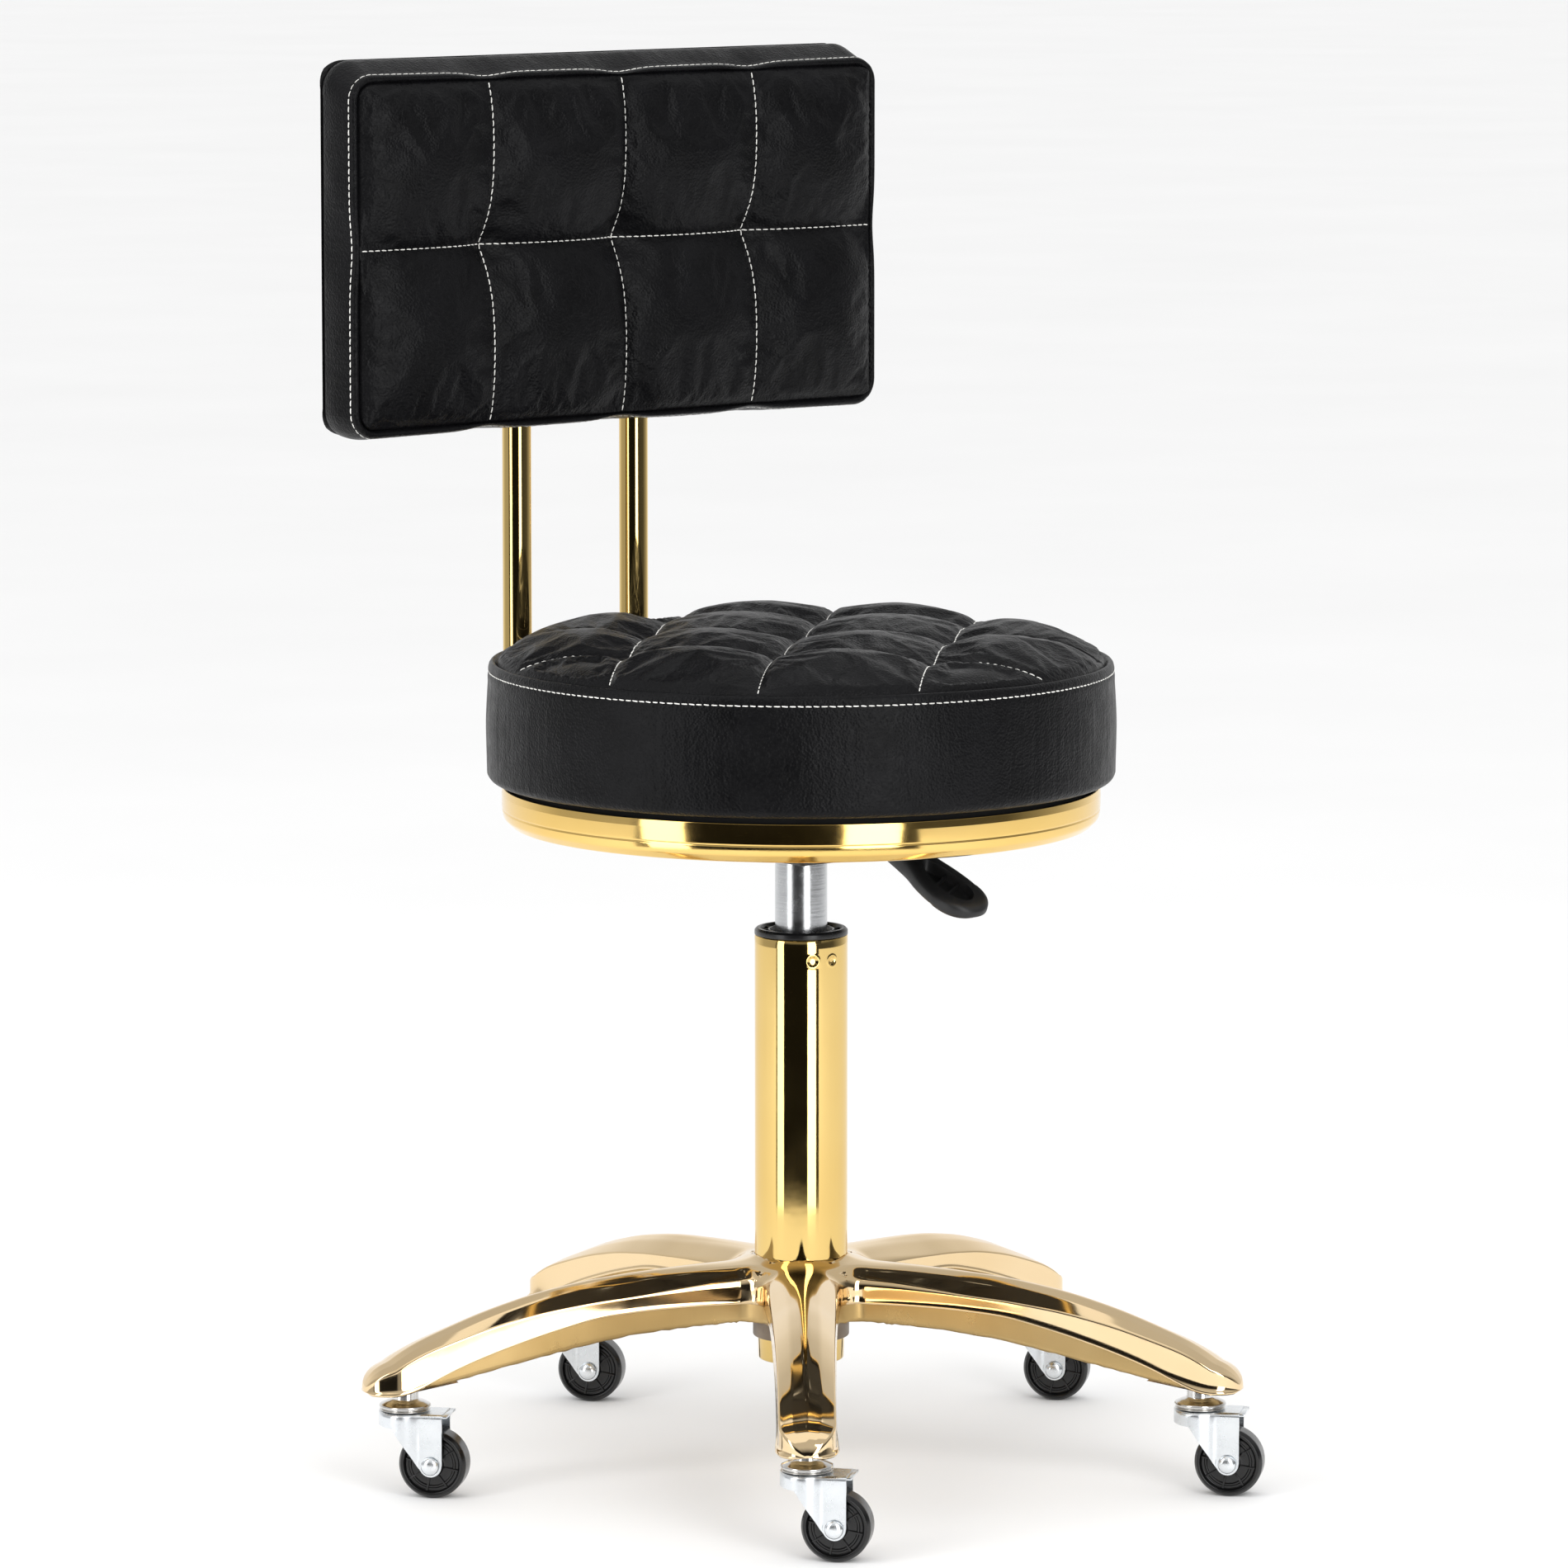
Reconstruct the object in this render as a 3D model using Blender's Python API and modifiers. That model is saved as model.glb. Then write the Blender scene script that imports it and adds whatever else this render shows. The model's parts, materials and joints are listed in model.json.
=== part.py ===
"""Adjustable swivel stool with a backrest.

A five-armed pressed base on casters carries a gas column. The seat turns on
the column's piston rod, rises with the gas cylinder, and has a release lever
under the front of the seat. Metres, +Z up, seat facing -Y, floor at z = 0.
The origin lies under the middle of the object's box, so the swivel axis is a
little to one side of it.
"""

import math

import bmesh
import bpy
import numpy as np
from mathutils import Matrix, Vector

# ---------------------------------------------------------------- dimensions
GAP = 0.0003                      # clearance between pieces that rest on each other
AXIS = (-0.00583, -0.01405)         # swivel axis in plan

# base
ARMS = 5
ARM_AZ = math.radians(-39.2)      # first arm, turned from -Y towards +X
ARM_TIP = 0.2455
SHELL_WALL = 0.0016
# stations along an arm: radius, half width, ridge height, shoulder height,
# lower lip of the top pressing, lower edge of the bottom pressing
STATIONS = (
    (0.020, 0.0205, 0.1150, 0.1060, 0.0955, 0.0850),
    (0.038, 0.0205, 0.1148, 0.1052, 0.0965, 0.0848),
    (0.060, 0.0190, 0.1142, 0.1046, 0.0965, 0.0840),
    (0.090, 0.0175, 0.1125, 0.1030, 0.0948, 0.0822),
    (0.120, 0.0166, 0.1098, 0.1006, 0.0924, 0.0783),
    (0.150, 0.0158, 0.1045, 0.0960, 0.0850, 0.0720),
    (0.178, 0.0152, 0.0967, 0.0900, 0.0772, 0.0664),
    (0.200, 0.0150, 0.0884, 0.0835, 0.0690, 0.0616),
    (0.218, 0.0150, 0.0812, 0.0778, 0.0600, 0.0582),
    (0.231, 0.0149, 0.0748, 0.0718, 0.0570, 0.0575),
    (0.2385, 0.0132, 0.0690, 0.0660, 0.0570, 0.0575),
    (0.2430, 0.0098, 0.0640, 0.0620, 0.0570, 0.0575),
    (ARM_TIP, 0.0050, 0.0612, 0.0600, 0.0570, 0.0575),
)
FRAME_INSET = 0.0030              # bottom pressing, inside the top pressing's lip
FRAME_WALL = 0.0020
FRAME_TIP = 0.2375
SOCKET_R = 0.0260
SOCKET_LOW, SOCKET_TOP = 0.0726, 0.1040

# casters
STEM_R = 0.2225                   # radius of the circle that the stems stand on
TRAIL = 0.0160
TRAIL_AZ = math.radians(-50.0)    # direction from stem to axle, from +X
WHEEL_R = 0.01825
WHEEL_HALF = 0.0085
FORK_PLATE = (0.0439, 0.0462)
FORK_R = 0.0140
LEG_IN, LEG_OUT = 0.0104, 0.0120

# gas column
TUBE_R, TUBE_WALL = 0.0250, 0.0015
TUBE_LOW, TUBE_SHOULDER, TUBE_TOP = 0.0600, 0.1180, 0.2910
COLLAR_TOP = 0.3020
CYL_R, CYL_WALL = 0.0140, 0.0013
CYL_LOW, CYL_TOP = 0.0970, 0.3455
ROD_R = 0.0040

# seat
PAN_R, PAN_TOP, PAN_CREASE, PAN_LOW = 0.1603, 0.3725, 0.3608, 0.3515
WEB_LOW, WEB_TOP = 0.3635, 0.3650
BOARD_R, BOARD_TOP = 0.1560, 0.3770
SEAT_R, SEAT_LOW, SEAM_Z, SEAT_TOP = 0.1690, 0.3755, 0.4345, 0.4560
COVER_WALL = 0.0015
FLANGE = (0.3602, 0.3632)
HOUSING_LOW = 0.3345

# backrest
BACK_W, BACK_LOW, BACK_HIGH = 0.3660, 0.5560, 0.7580
BACK_FRONT, BACK_REAR = 0.1455, 0.1845
BACK_CORNER = 0.0150
POST_X, POST_Y, POST_R = 0.0410, 0.1935, 0.0080
POST_LEG_Z, POST_BEND, POST_TOP = 0.3430, 0.0255, 0.7000
BOLT_Z = (0.6000, 0.6800)

# release lever
PIVOT_Y, ROD_Z, LEVER_R = -0.0240, 0.3529, 0.0040


# ------------------------------------------------------------------- helpers
for old in list(bpy.data.objects):
    bpy.data.objects.remove(old, do_unlink=True)

parts = bpy.data.collections.new("swivel_stool")
cutters = bpy.data.collections.new("cutters")
for c in (parts, cutters):
    bpy.context.scene.collection.children.link(c)


def material(name, colour, roughness, metallic):
    m = bpy.data.materials.new(name)
    m.use_nodes = True
    b = m.node_tree.nodes["Principled BSDF"]
    b.inputs["Base Color"].default_value = (*colour, 1.0)
    b.inputs["Roughness"].default_value = roughness
    b.inputs["Metallic"].default_value = metallic
    return m


FINISH = {
    "gold": ((0.83, 0.60, 0.24), 0.12, 1.0),
    "bronze": ((0.20, 0.15, 0.10), 0.45, 1.0),
    "steel": ((0.62, 0.62, 0.63), 0.25, 1.0),
    "zinc": ((0.72, 0.74, 0.76), 0.30, 1.0),
    "black_plastic": ((0.012, 0.012, 0.013), 0.35, 0.0),
    "leatherette": ((0.015, 0.015, 0.016), 0.42, 0.0),
    "foam": ((0.75, 0.72, 0.60), 0.9, 0.0),
    "plywood": ((0.55, 0.40, 0.24), 0.7, 0.0),
    "black_steel": ((0.03, 0.03, 0.03), 0.4, 0.6),
}


def place(name, mesh, finish, matrix=None, cutter=False):
    ob = bpy.data.objects.new(name, mesh)
    if cutter:
        cutters.objects.link(ob)
        ob.hide_render = True
        ob.display_type = "WIRE"
    else:
        parts.objects.link(ob)
        mesh.materials.append(material(name + "_" + finish, *FINISH[finish]))
    if matrix is not None:
        ob.matrix_world = matrix
    return ob


def smooth(mesh, degrees=35.0):
    mesh.shade_smooth()
    mesh.set_sharp_from_angle(angle=math.radians(degrees))


def at(x, y, z):
    """Place in the seat's or column's own frame: the swivel axis is x = y = 0."""
    return Matrix.Translation((AXIS[0] + x, AXIS[1] + y, z))


TO_AXIS = {
    "Z": Matrix.Identity(4),
    "Y": Matrix.Rotation(math.radians(-90), 4, "X"),   # local +Z points along +Y
    "X": Matrix.Rotation(math.radians(90), 4, "Y"),    # local +Z points along +X
}


def lathe(name, profile, finish, steps, matrix, cutter=False, closed=True, angle=35.0):
    """Turned piece. The profile is (radius, height) pairs, down the outer side."""
    mesh = bpy.data.meshes.new(name)
    n = len(profile)
    edges = [(i, i + 1) for i in range(n - 1)] + ([(n - 1, 0)] if closed else [])
    mesh.from_pydata([(r, 0.0, z) for r, z in profile], edges, [])
    ob = place(name, mesh, finish, matrix, cutter)
    m = ob.modifiers.new("Turn", "SCREW")
    m.axis = "Z"
    m.steps = m.render_steps = steps
    m.use_merge_vertices = True
    m.merge_threshold = 0.00001
    m.use_smooth_shade = True
    return ob


def cylinder(name, radius, low, high, finish, steps, matrix, cutter=False):
    mesh = bpy.data.meshes.new(name)
    bm = bmesh.new()
    bmesh.ops.create_cone(bm, cap_ends=True, segments=steps, radius1=radius,
                          radius2=radius, depth=high - low,
                          matrix=Matrix.Translation((0, 0, (low + high) / 2)))
    bm.to_mesh(mesh)
    bm.free()
    smooth(mesh)
    return place(name, mesh, finish, matrix, cutter)


def box(name, x, y, z, finish, matrix=None, cutter=False, bevel=0.0):
    mesh = bpy.data.meshes.new(name)
    bm = bmesh.new()
    bmesh.ops.create_cube(bm, size=1.0)
    bmesh.ops.scale(bm, vec=(x[1] - x[0], y[1] - y[0], z[1] - z[0]), verts=bm.verts)
    bmesh.ops.translate(bm, vec=((x[0] + x[1]) / 2, (y[0] + y[1]) / 2, (z[0] + z[1]) / 2),
                        verts=bm.verts)
    bm.to_mesh(mesh)
    bm.free()
    ob = place(name, mesh, finish, matrix, cutter)
    if bevel:
        m = ob.modifiers.new("Edges", "BEVEL")
        m.width = bevel
        m.segments = 1
    return ob


def prism(name, outline, low, high, finish, matrix=None, cutter=False):
    """Flat outline (counter-clockwise in the local XY plane), drawn out along Z."""
    mesh = bpy.data.meshes.new(name)
    bm = bmesh.new()
    face = bm.faces.new([bm.verts.new((x, y, low)) for x, y in outline])
    bm.normal_update()
    if face.normal.z > 0:
        face.normal_flip()
    top = bmesh.ops.extrude_face_region(bm, geom=[face])
    moved = [v for v in top["geom"] if isinstance(v, bmesh.types.BMVert)]
    bmesh.ops.translate(bm, vec=(0, 0, high - low), verts=moved)
    bmesh.ops.recalc_face_normals(bm, faces=bm.faces)
    bm.to_mesh(mesh)
    bm.free()
    smooth(mesh)
    return place(name, mesh, finish, matrix, cutter)


def loft(name, sections, finish, matrix=None, cutter=False):
    """Skin over rings of points with the same count, closed at both ends."""
    mesh = bpy.data.meshes.new(name)
    bm = bmesh.new()
    rings = [[bm.verts.new(p) for p in ring] for ring in sections]
    n = len(rings[0])
    for a, b in zip(rings, rings[1:]):
        for i in range(n):
            j = (i + 1) % n
            bm.faces.new((a[i], a[j], b[j], b[i]))
    bm.faces.new(rings[0])
    bm.faces.new(rings[-1])
    bmesh.ops.recalc_face_normals(bm, faces=bm.faces)
    bmesh.ops.triangulate(bm, faces=bm.faces)
    bm.to_mesh(mesh)
    bm.free()
    smooth(mesh, 40.0)
    return place(name, mesh, finish, matrix, cutter)


def boolean(ob, tool, how="DIFFERENCE"):
    m = ob.modifiers.new(how.title() + " " + tool.name, "BOOLEAN")
    m.operation = how
    m.solver = "EXACT"
    m.object = tool
    return ob


def rounded(w, h, radius, per_corner):
    """Rounded rectangle about the origin, counter-clockwise."""
    pts = []
    for k, (cx, cy) in enumerate(((1, 1), (-1, 1), (-1, -1), (1, -1))):
        for i in range(per_corner + 1):
            a = math.radians(90 * k + 90 * i / per_corner)
            pts.append((cx * (w / 2 - radius) + radius * math.cos(a),
                        cy * (h / 2 - radius) + radius * math.sin(a)))
    return pts


def tube_mesh(name, points, radius, matrix, cutter=False, finish="gold"):
    """Round bar along a polyline, as a welded mesh."""
    curve = bpy.data.curves.new(name + "_path", "CURVE")
    curve.dimensions = "3D"
    spline = curve.splines.new("POLY")
    spline.points.add(len(points) - 1)
    for p, q in zip(spline.points, points):
        p.co = (*q, 1.0)
    curve.bevel_depth = radius
    curve.bevel_resolution = 3
    curve.render_resolution_u = 0
    curve.use_fill_caps = True
    tmp = bpy.data.objects.new(name + "_path", curve)
    cutters.objects.link(tmp)
    bpy.context.view_layer.update()
    dep = bpy.context.evaluated_depsgraph_get()
    mesh = bpy.data.meshes.new_from_object(tmp.evaluated_get(dep))
    bpy.data.objects.remove(tmp, do_unlink=True)
    bm = bmesh.new()
    bm.from_mesh(mesh)
    bmesh.ops.remove_doubles(bm, verts=bm.verts, dist=0.00002)
    bmesh.ops.recalc_face_normals(bm, faces=bm.faces)
    bmesh.ops.triangulate(bm, faces=bm.faces)
    bm.to_mesh(mesh)
    bm.free()
    mesh.name = name
    smooth(mesh)
    return place(name, mesh, finish, matrix, cutter)


# --------------------------------------------------------------- arm geometry
TABLE = np.array(STATIONS)


def station(r):
    return [float(np.interp(r, TABLE[:, 0], TABLE[:, k])) for k in range(1, 6)]


def arm_ring(r, grow, drop, low):
    """Section of the top pressing across an arm, at radius r."""
    w, ridge, shoulder, lip, _ = station(r)
    w -= grow
    ridge -= drop
    shoulder -= drop * 0.8
    rise = ridge - shoulder
    flat = min(max((0.050 - r) / 0.022, 0.0), 1.0)   # the hub's top is level round the tube
    crown = shoulder + rise * (0.78 + 0.22 * flat)
    half = ((w + 0.0003, low if low is not None else lip), (w, shoulder - 0.0005 + rise * 0.4 * flat),
            (w * 0.66, crown))
    left = [(r, -y, z) for y, z in half]
    right = [(r, y, z) for y, z in reversed(half)]
    return left + [(r, 0.0, ridge)] + right


def frame_ring(r, inset, top_drop, low):
    """Section of the bottom pressing across an arm, at radius r."""
    w, _, shoulder, lip, bottom = station(r)
    w -= FRAME_INSET + inset
    top = min(max(lip + 0.0045, bottom + 0.0060), shoulder - 0.0030) - top_drop
    base = bottom if low is None else low
    waist = bottom + (top - bottom) * 0.55
    neck = min(0.0016, w * 0.2) if low is None else 0.0004
    return [(r, -w + neck, base), (r, -w, waist), (r, -w + 0.0012, top),
            (r, w - 0.0012, top), (r, w, waist), (r, w - neck, base)]


def add_loft(bm, sections):
    rings = [[bm.verts.new(p) for p in ring] for ring in sections]
    n = len(rings[0])
    for a, b in zip(rings, rings[1:]):
        for i in range(n):
            j = (i + 1) % n
            bm.faces.new((a[i], a[j], b[j], b[i]))
    bm.faces.new(rings[0])
    bm.faces.new(rings[-1])


def turned(k):
    """Local +X runs outward along arm k."""
    return Matrix.Rotation(ARM_AZ + 2 * math.pi * k / ARMS - math.pi / 2, 4, "Z")


def arm_matrix(k):
    return at(0, 0, 0) @ turned(k)


def star(name, sections, finish, cutter=False):
    """Five arms that meet on the planes half way between them."""
    one = bmesh.new()
    add_loft(one, sections)
    bmesh.ops.recalc_face_normals(one, faces=one.faces)
    half = math.pi / ARMS
    for side in (-1, 1):
        normal = Vector((-math.sin(half), side * math.cos(half), 0))
        bmesh.ops.bisect_plane(one, geom=one.verts[:] + one.edges[:] + one.faces[:], dist=1e-7,
                               plane_co=(0, 0, 0), plane_no=normal, clear_outer=True)
    wedge = bpy.data.meshes.new(name + "_wedge")
    one.to_mesh(wedge)
    one.free()
    bm = bmesh.new()
    for k in range(ARMS):
        wedge.transform(turned(k))
        bm.from_mesh(wedge)
        wedge.transform(turned(k).inverted())
    bpy.data.meshes.remove(wedge)
    bmesh.ops.remove_doubles(bm, verts=bm.verts, dist=0.000004)
    bmesh.ops.recalc_face_normals(bm, faces=bm.faces)
    bmesh.ops.triangulate(bm, faces=bm.faces)
    mesh = bpy.data.meshes.new(name)
    bm.to_mesh(mesh)
    bm.free()
    smooth(mesh, 40.0)
    return place(name, mesh, finish, at(0, 0, 0), cutter)


def five(name, sections):
    """The same closed cutter in each arm."""
    bm = bmesh.new()
    for k in range(ARMS):
        add_loft(bm, [[turned(k) @ Vector(p) for p in ring] for ring in sections])
    bmesh.ops.recalc_face_normals(bm, faces=bm.faces)
    bmesh.ops.triangulate(bm, faces=bm.faces)
    mesh = bpy.data.meshes.new(name)
    bm.to_mesh(mesh)
    bm.free()
    return place(name, mesh, "gold", at(0, 0, 0), cutter=True)


# ---------------------------------------------------------------------- base
def make_base():
    outer = (-0.010, 0.028, 0.045, 0.075, 0.115, 0.150, 0.182, 0.206, 0.222, 0.2335, 0.2410, ARM_TIP)
    inner = (-0.010, 0.028, 0.045, 0.115, 0.150, 0.182, 0.206, 0.222, 0.2335, 0.2410)
    shell = star("base_shell", [arm_ring(r, 0, 0, None) for r in outer], "gold")
    boolean(shell, cylinder("shell_bore", TUBE_R + GAP, 0.0500, 0.1300, "gold", 28, at(0, 0, 0), cutter=True))
    # hollow underside, left open at the bottom
    boolean(shell, star("shell_hollow", [arm_ring(r, SHELL_WALL, SHELL_WALL, 0.030) for r in inner],
                        "gold", cutter=True))

    reach = (-0.010, 0.040, 0.105, 0.150, 0.182, 0.206, 0.222, FRAME_TIP)
    frame = star("base_frame", [frame_ring(r, 0, 0, None) for r in reach], "gold")
    boolean(frame, cylinder("frame_bore", SOCKET_R + GAP, 0.060, 0.120, "gold", 28, at(0, 0, 0), cutter=True))
    around = [(0.0061 * math.cos(2 * math.pi * i / 10), 0.0061 * math.sin(2 * math.pi * i / 10))
              for i in range(10)]
    boolean(frame, five("stem_holes", [[(STEM_R + x, y, z) for x, y in around] for z in (0.040, 0.090)]))
    boolean(frame, five("frame_hollow", [frame_ring(r, FRAME_WALL, FRAME_WALL, 0.030)
                                         for r in (0.040, 0.105, 0.150, 0.205)]))

    def taper(z):                       # outer radius of the tube's tapered foot
        return 0.0230 + (TUBE_R - 0.0230) * (z - TUBE_LOW) / (TUBE_SHOULDER - TUBE_LOW)

    lathe("hub_socket", [(SOCKET_R, SOCKET_TOP), (SOCKET_R, SOCKET_LOW),
                         (taper(SOCKET_LOW) + GAP, SOCKET_LOW), (taper(SOCKET_TOP) + GAP, SOCKET_TOP)],
          "bronze", 24, at(0, 0, 0))
    lathe("column_tube", [(TUBE_R, TUBE_TOP), (TUBE_R, TUBE_SHOULDER), (0.0230, TUBE_LOW),
                          (0.0045, TUBE_LOW), (0.0045, TUBE_LOW + 0.0026), (0.0214, TUBE_LOW + 0.0026),
                          (TUBE_R - TUBE_WALL, TUBE_SHOULDER), (TUBE_R - TUBE_WALL, TUBE_TOP)],
          "gold", 28, at(0, 0, 0))
    lathe("guide_bush", [(0.0236, COLLAR_TOP), (0.0248, COLLAR_TOP - 0.0015), (0.0248, TUBE_TOP + GAP),
                         (0.0232, TUBE_TOP + GAP), (0.0232, 0.2250), (CYL_R + GAP, 0.2250),
                         (CYL_R + GAP, 0.2995), (0.0170, COLLAR_TOP)],
          "black_plastic", 24, at(0, 0, 0))
    lathe("thrust_bearing", [(0.0120, 0.0660), (0.0120, 0.0629), (0.0045, 0.0629), (0.0045, 0.0660)],
          "steel", 20, at(0, 0, 0))
    lathe("retaining_clip", [(0.0075, 0.0592), (0.0075, 0.0582), (0.0034, 0.0582), (0.0034, 0.0592)],
          "steel", 16, at(0, 0, 0))


def make_casters():
    trail = Matrix.Rotation(TRAIL_AZ, 4, "Z")
    for k in range(ARMS):
        n = k + 1
        swivel = arm_matrix(k) @ Matrix.Translation((STEM_R, 0, 0))
        swivel = Matrix.Translation(swivel.to_translation())
        local = swivel @ trail
        p0, p1 = FORK_PLATE
        lathe(f"caster_stem_{n}",
              [(0.0, 0.0700), (0.0055, 0.0690), (0.0055, 0.0568), (0.0078, 0.0568),
               (0.0078, 0.0518), (0.0140, 0.0490), (0.0140, p1 + GAP),
               (0.0042, p1 + GAP), (0.0042, p0 - GAP), (0.0066, p0 - GAP), (0.0, p0 - 0.0026)],
              "zinc", 14, swivel, closed=False)

        end = TRAIL + 0.0062
        disc = [(FORK_R * math.cos(math.radians(a)), FORK_R * math.sin(math.radians(a)))
                for a in range(60, 301, 24)]
        plate = [(end, -LEG_OUT), (end, LEG_OUT)] + disc
        fork = prism(f"caster_fork_{n}", plate, p0, p1, "zinc", local)
        tip = [(TRAIL + 0.0060 * math.cos(math.radians(a)), WHEEL_R + 0.0060 * math.sin(math.radians(a)))
               for a in range(0, -181, -36)]
        leg = [(end, p0 + 0.0012)] + tip + [(-0.0030, p0 - 0.0070), (-0.0030, p0 + 0.0012)]
        for side, (a, b) in enumerate(((-LEG_OUT, -LEG_IN), (LEG_IN, LEG_OUT))):
            # outline in local X-Z, drawn out along Y
            tool = prism(f"fork_leg_{n}_{side}", leg, -b, -a, "zinc",
                         local @ Matrix.Rotation(math.radians(90), 4, "X"), cutter=True)
            boolean(fork, tool, "UNION")
        hole = cylinder(f"fork_stem_hole_{n}", 0.0046, p0 - 0.004, p1 + 0.004, "zinc", 12, local, cutter=True)
        boolean(fork, hole)
        axle_at = local @ Matrix.Translation((TRAIL, 0, WHEEL_R)) @ TO_AXIS["Y"]
        hole = cylinder(f"fork_axle_hole_{n}", 0.0028, -0.03, 0.03, "zinc", 10, axle_at, cutter=True)
        boolean(fork, hole)

        steps = 16
        half_step = Matrix.Rotation(math.pi / steps, 4, "Z")
        grow = 1 / math.cos(math.pi / steps)      # so that the flats lie at the true radius
        w = WHEEL_HALF
        side = [(WHEEL_R * grow, 0.0060), (0.0164 * grow, w), (0.0146, 0.0062), (0.0064, 0.0062),
                (0.0060, 0.0098), (0.0029, 0.0098)]
        profile = side[::-1] + [(r, -y) for r, y in side]
        lathe(f"caster_wheel_{n}", profile, "black_plastic", steps, axle_at @ half_step)
        h = LEG_OUT + GAP
        head = [(0.0, h + 0.0020), (0.0048, h), (0.0023, h)]
        lathe(f"caster_axle_{n}", head + [(r, -y) for r, y in reversed(head)], "zinc", 8, axle_at,
              closed=False)


# ---------------------------------------------------------------- gas column
def make_column():
    lathe("piston_rod", [(0.0, 0.2850), (ROD_R, 0.2850), (ROD_R, 0.0690), (0.0080, 0.0690),
                         (0.0080, 0.0663), (ROD_R, 0.0663), (ROD_R, 0.0595), (0.0031, 0.0595),
                         (0.0031, 0.0579), (ROD_R, 0.0579), (ROD_R - 0.0008, 0.0555), (0.0, 0.0555)],
          "steel", 10, at(0, 0, 0), closed=False)
    lathe("piston", [(0.0, 0.2973), (0.0110, 0.2973), (0.0123, 0.2960), (0.0123, 0.2866),
                     (0.0110, 0.2853), (0.0, 0.2853)], "black_plastic", 16, at(0, 0, 0), closed=False)
    lathe("gas_cylinder", [(0.0, 0.3325), (0.0040, 0.3325), (0.0040, CYL_TOP), (0.0132, CYL_TOP),
                           (CYL_R, CYL_TOP - 0.0010), (CYL_R, CYL_LOW), (0.0045, CYL_LOW),
                           (0.0045, CYL_LOW + 0.0100), (CYL_R - CYL_WALL, CYL_LOW + 0.0100),
                           (CYL_R - CYL_WALL, 0.3275), (0.0, 0.3275)],
          "steel", 24, at(0, 0, 0), closed=False)
    lathe("release_pin", [(0.0, 0.3484), (0.0024, 0.3484), (0.0036, 0.3474), (0.0036, 0.3355),
                          (0.0, 0.3357)], "steel", 12, at(0, 0, 0), closed=False)


# ---------------------------------------------------------------------- seat
PLATE_SCREWS = [(sx * 0.062, sy * 0.040) for sx in (-1, 1) for sy in (-1, 1)]
BRACKET_SCREWS = [(-0.014, 0.086), (0.014, 0.086)]


def screw(name, x, y):
    """Pan-head screw driven up into the seat board."""
    f = FLANGE[0] - GAP
    lathe(name, [(0.0, BOARD_TOP - 0.0030), (0.0028, BOARD_TOP - 0.0040),
                 (0.0028, f), (0.0058, f), (0.0046, f - 0.0034), (0.0, f - 0.0034)],
          "steel", 8, at(x, y, 0), closed=False)


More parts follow.
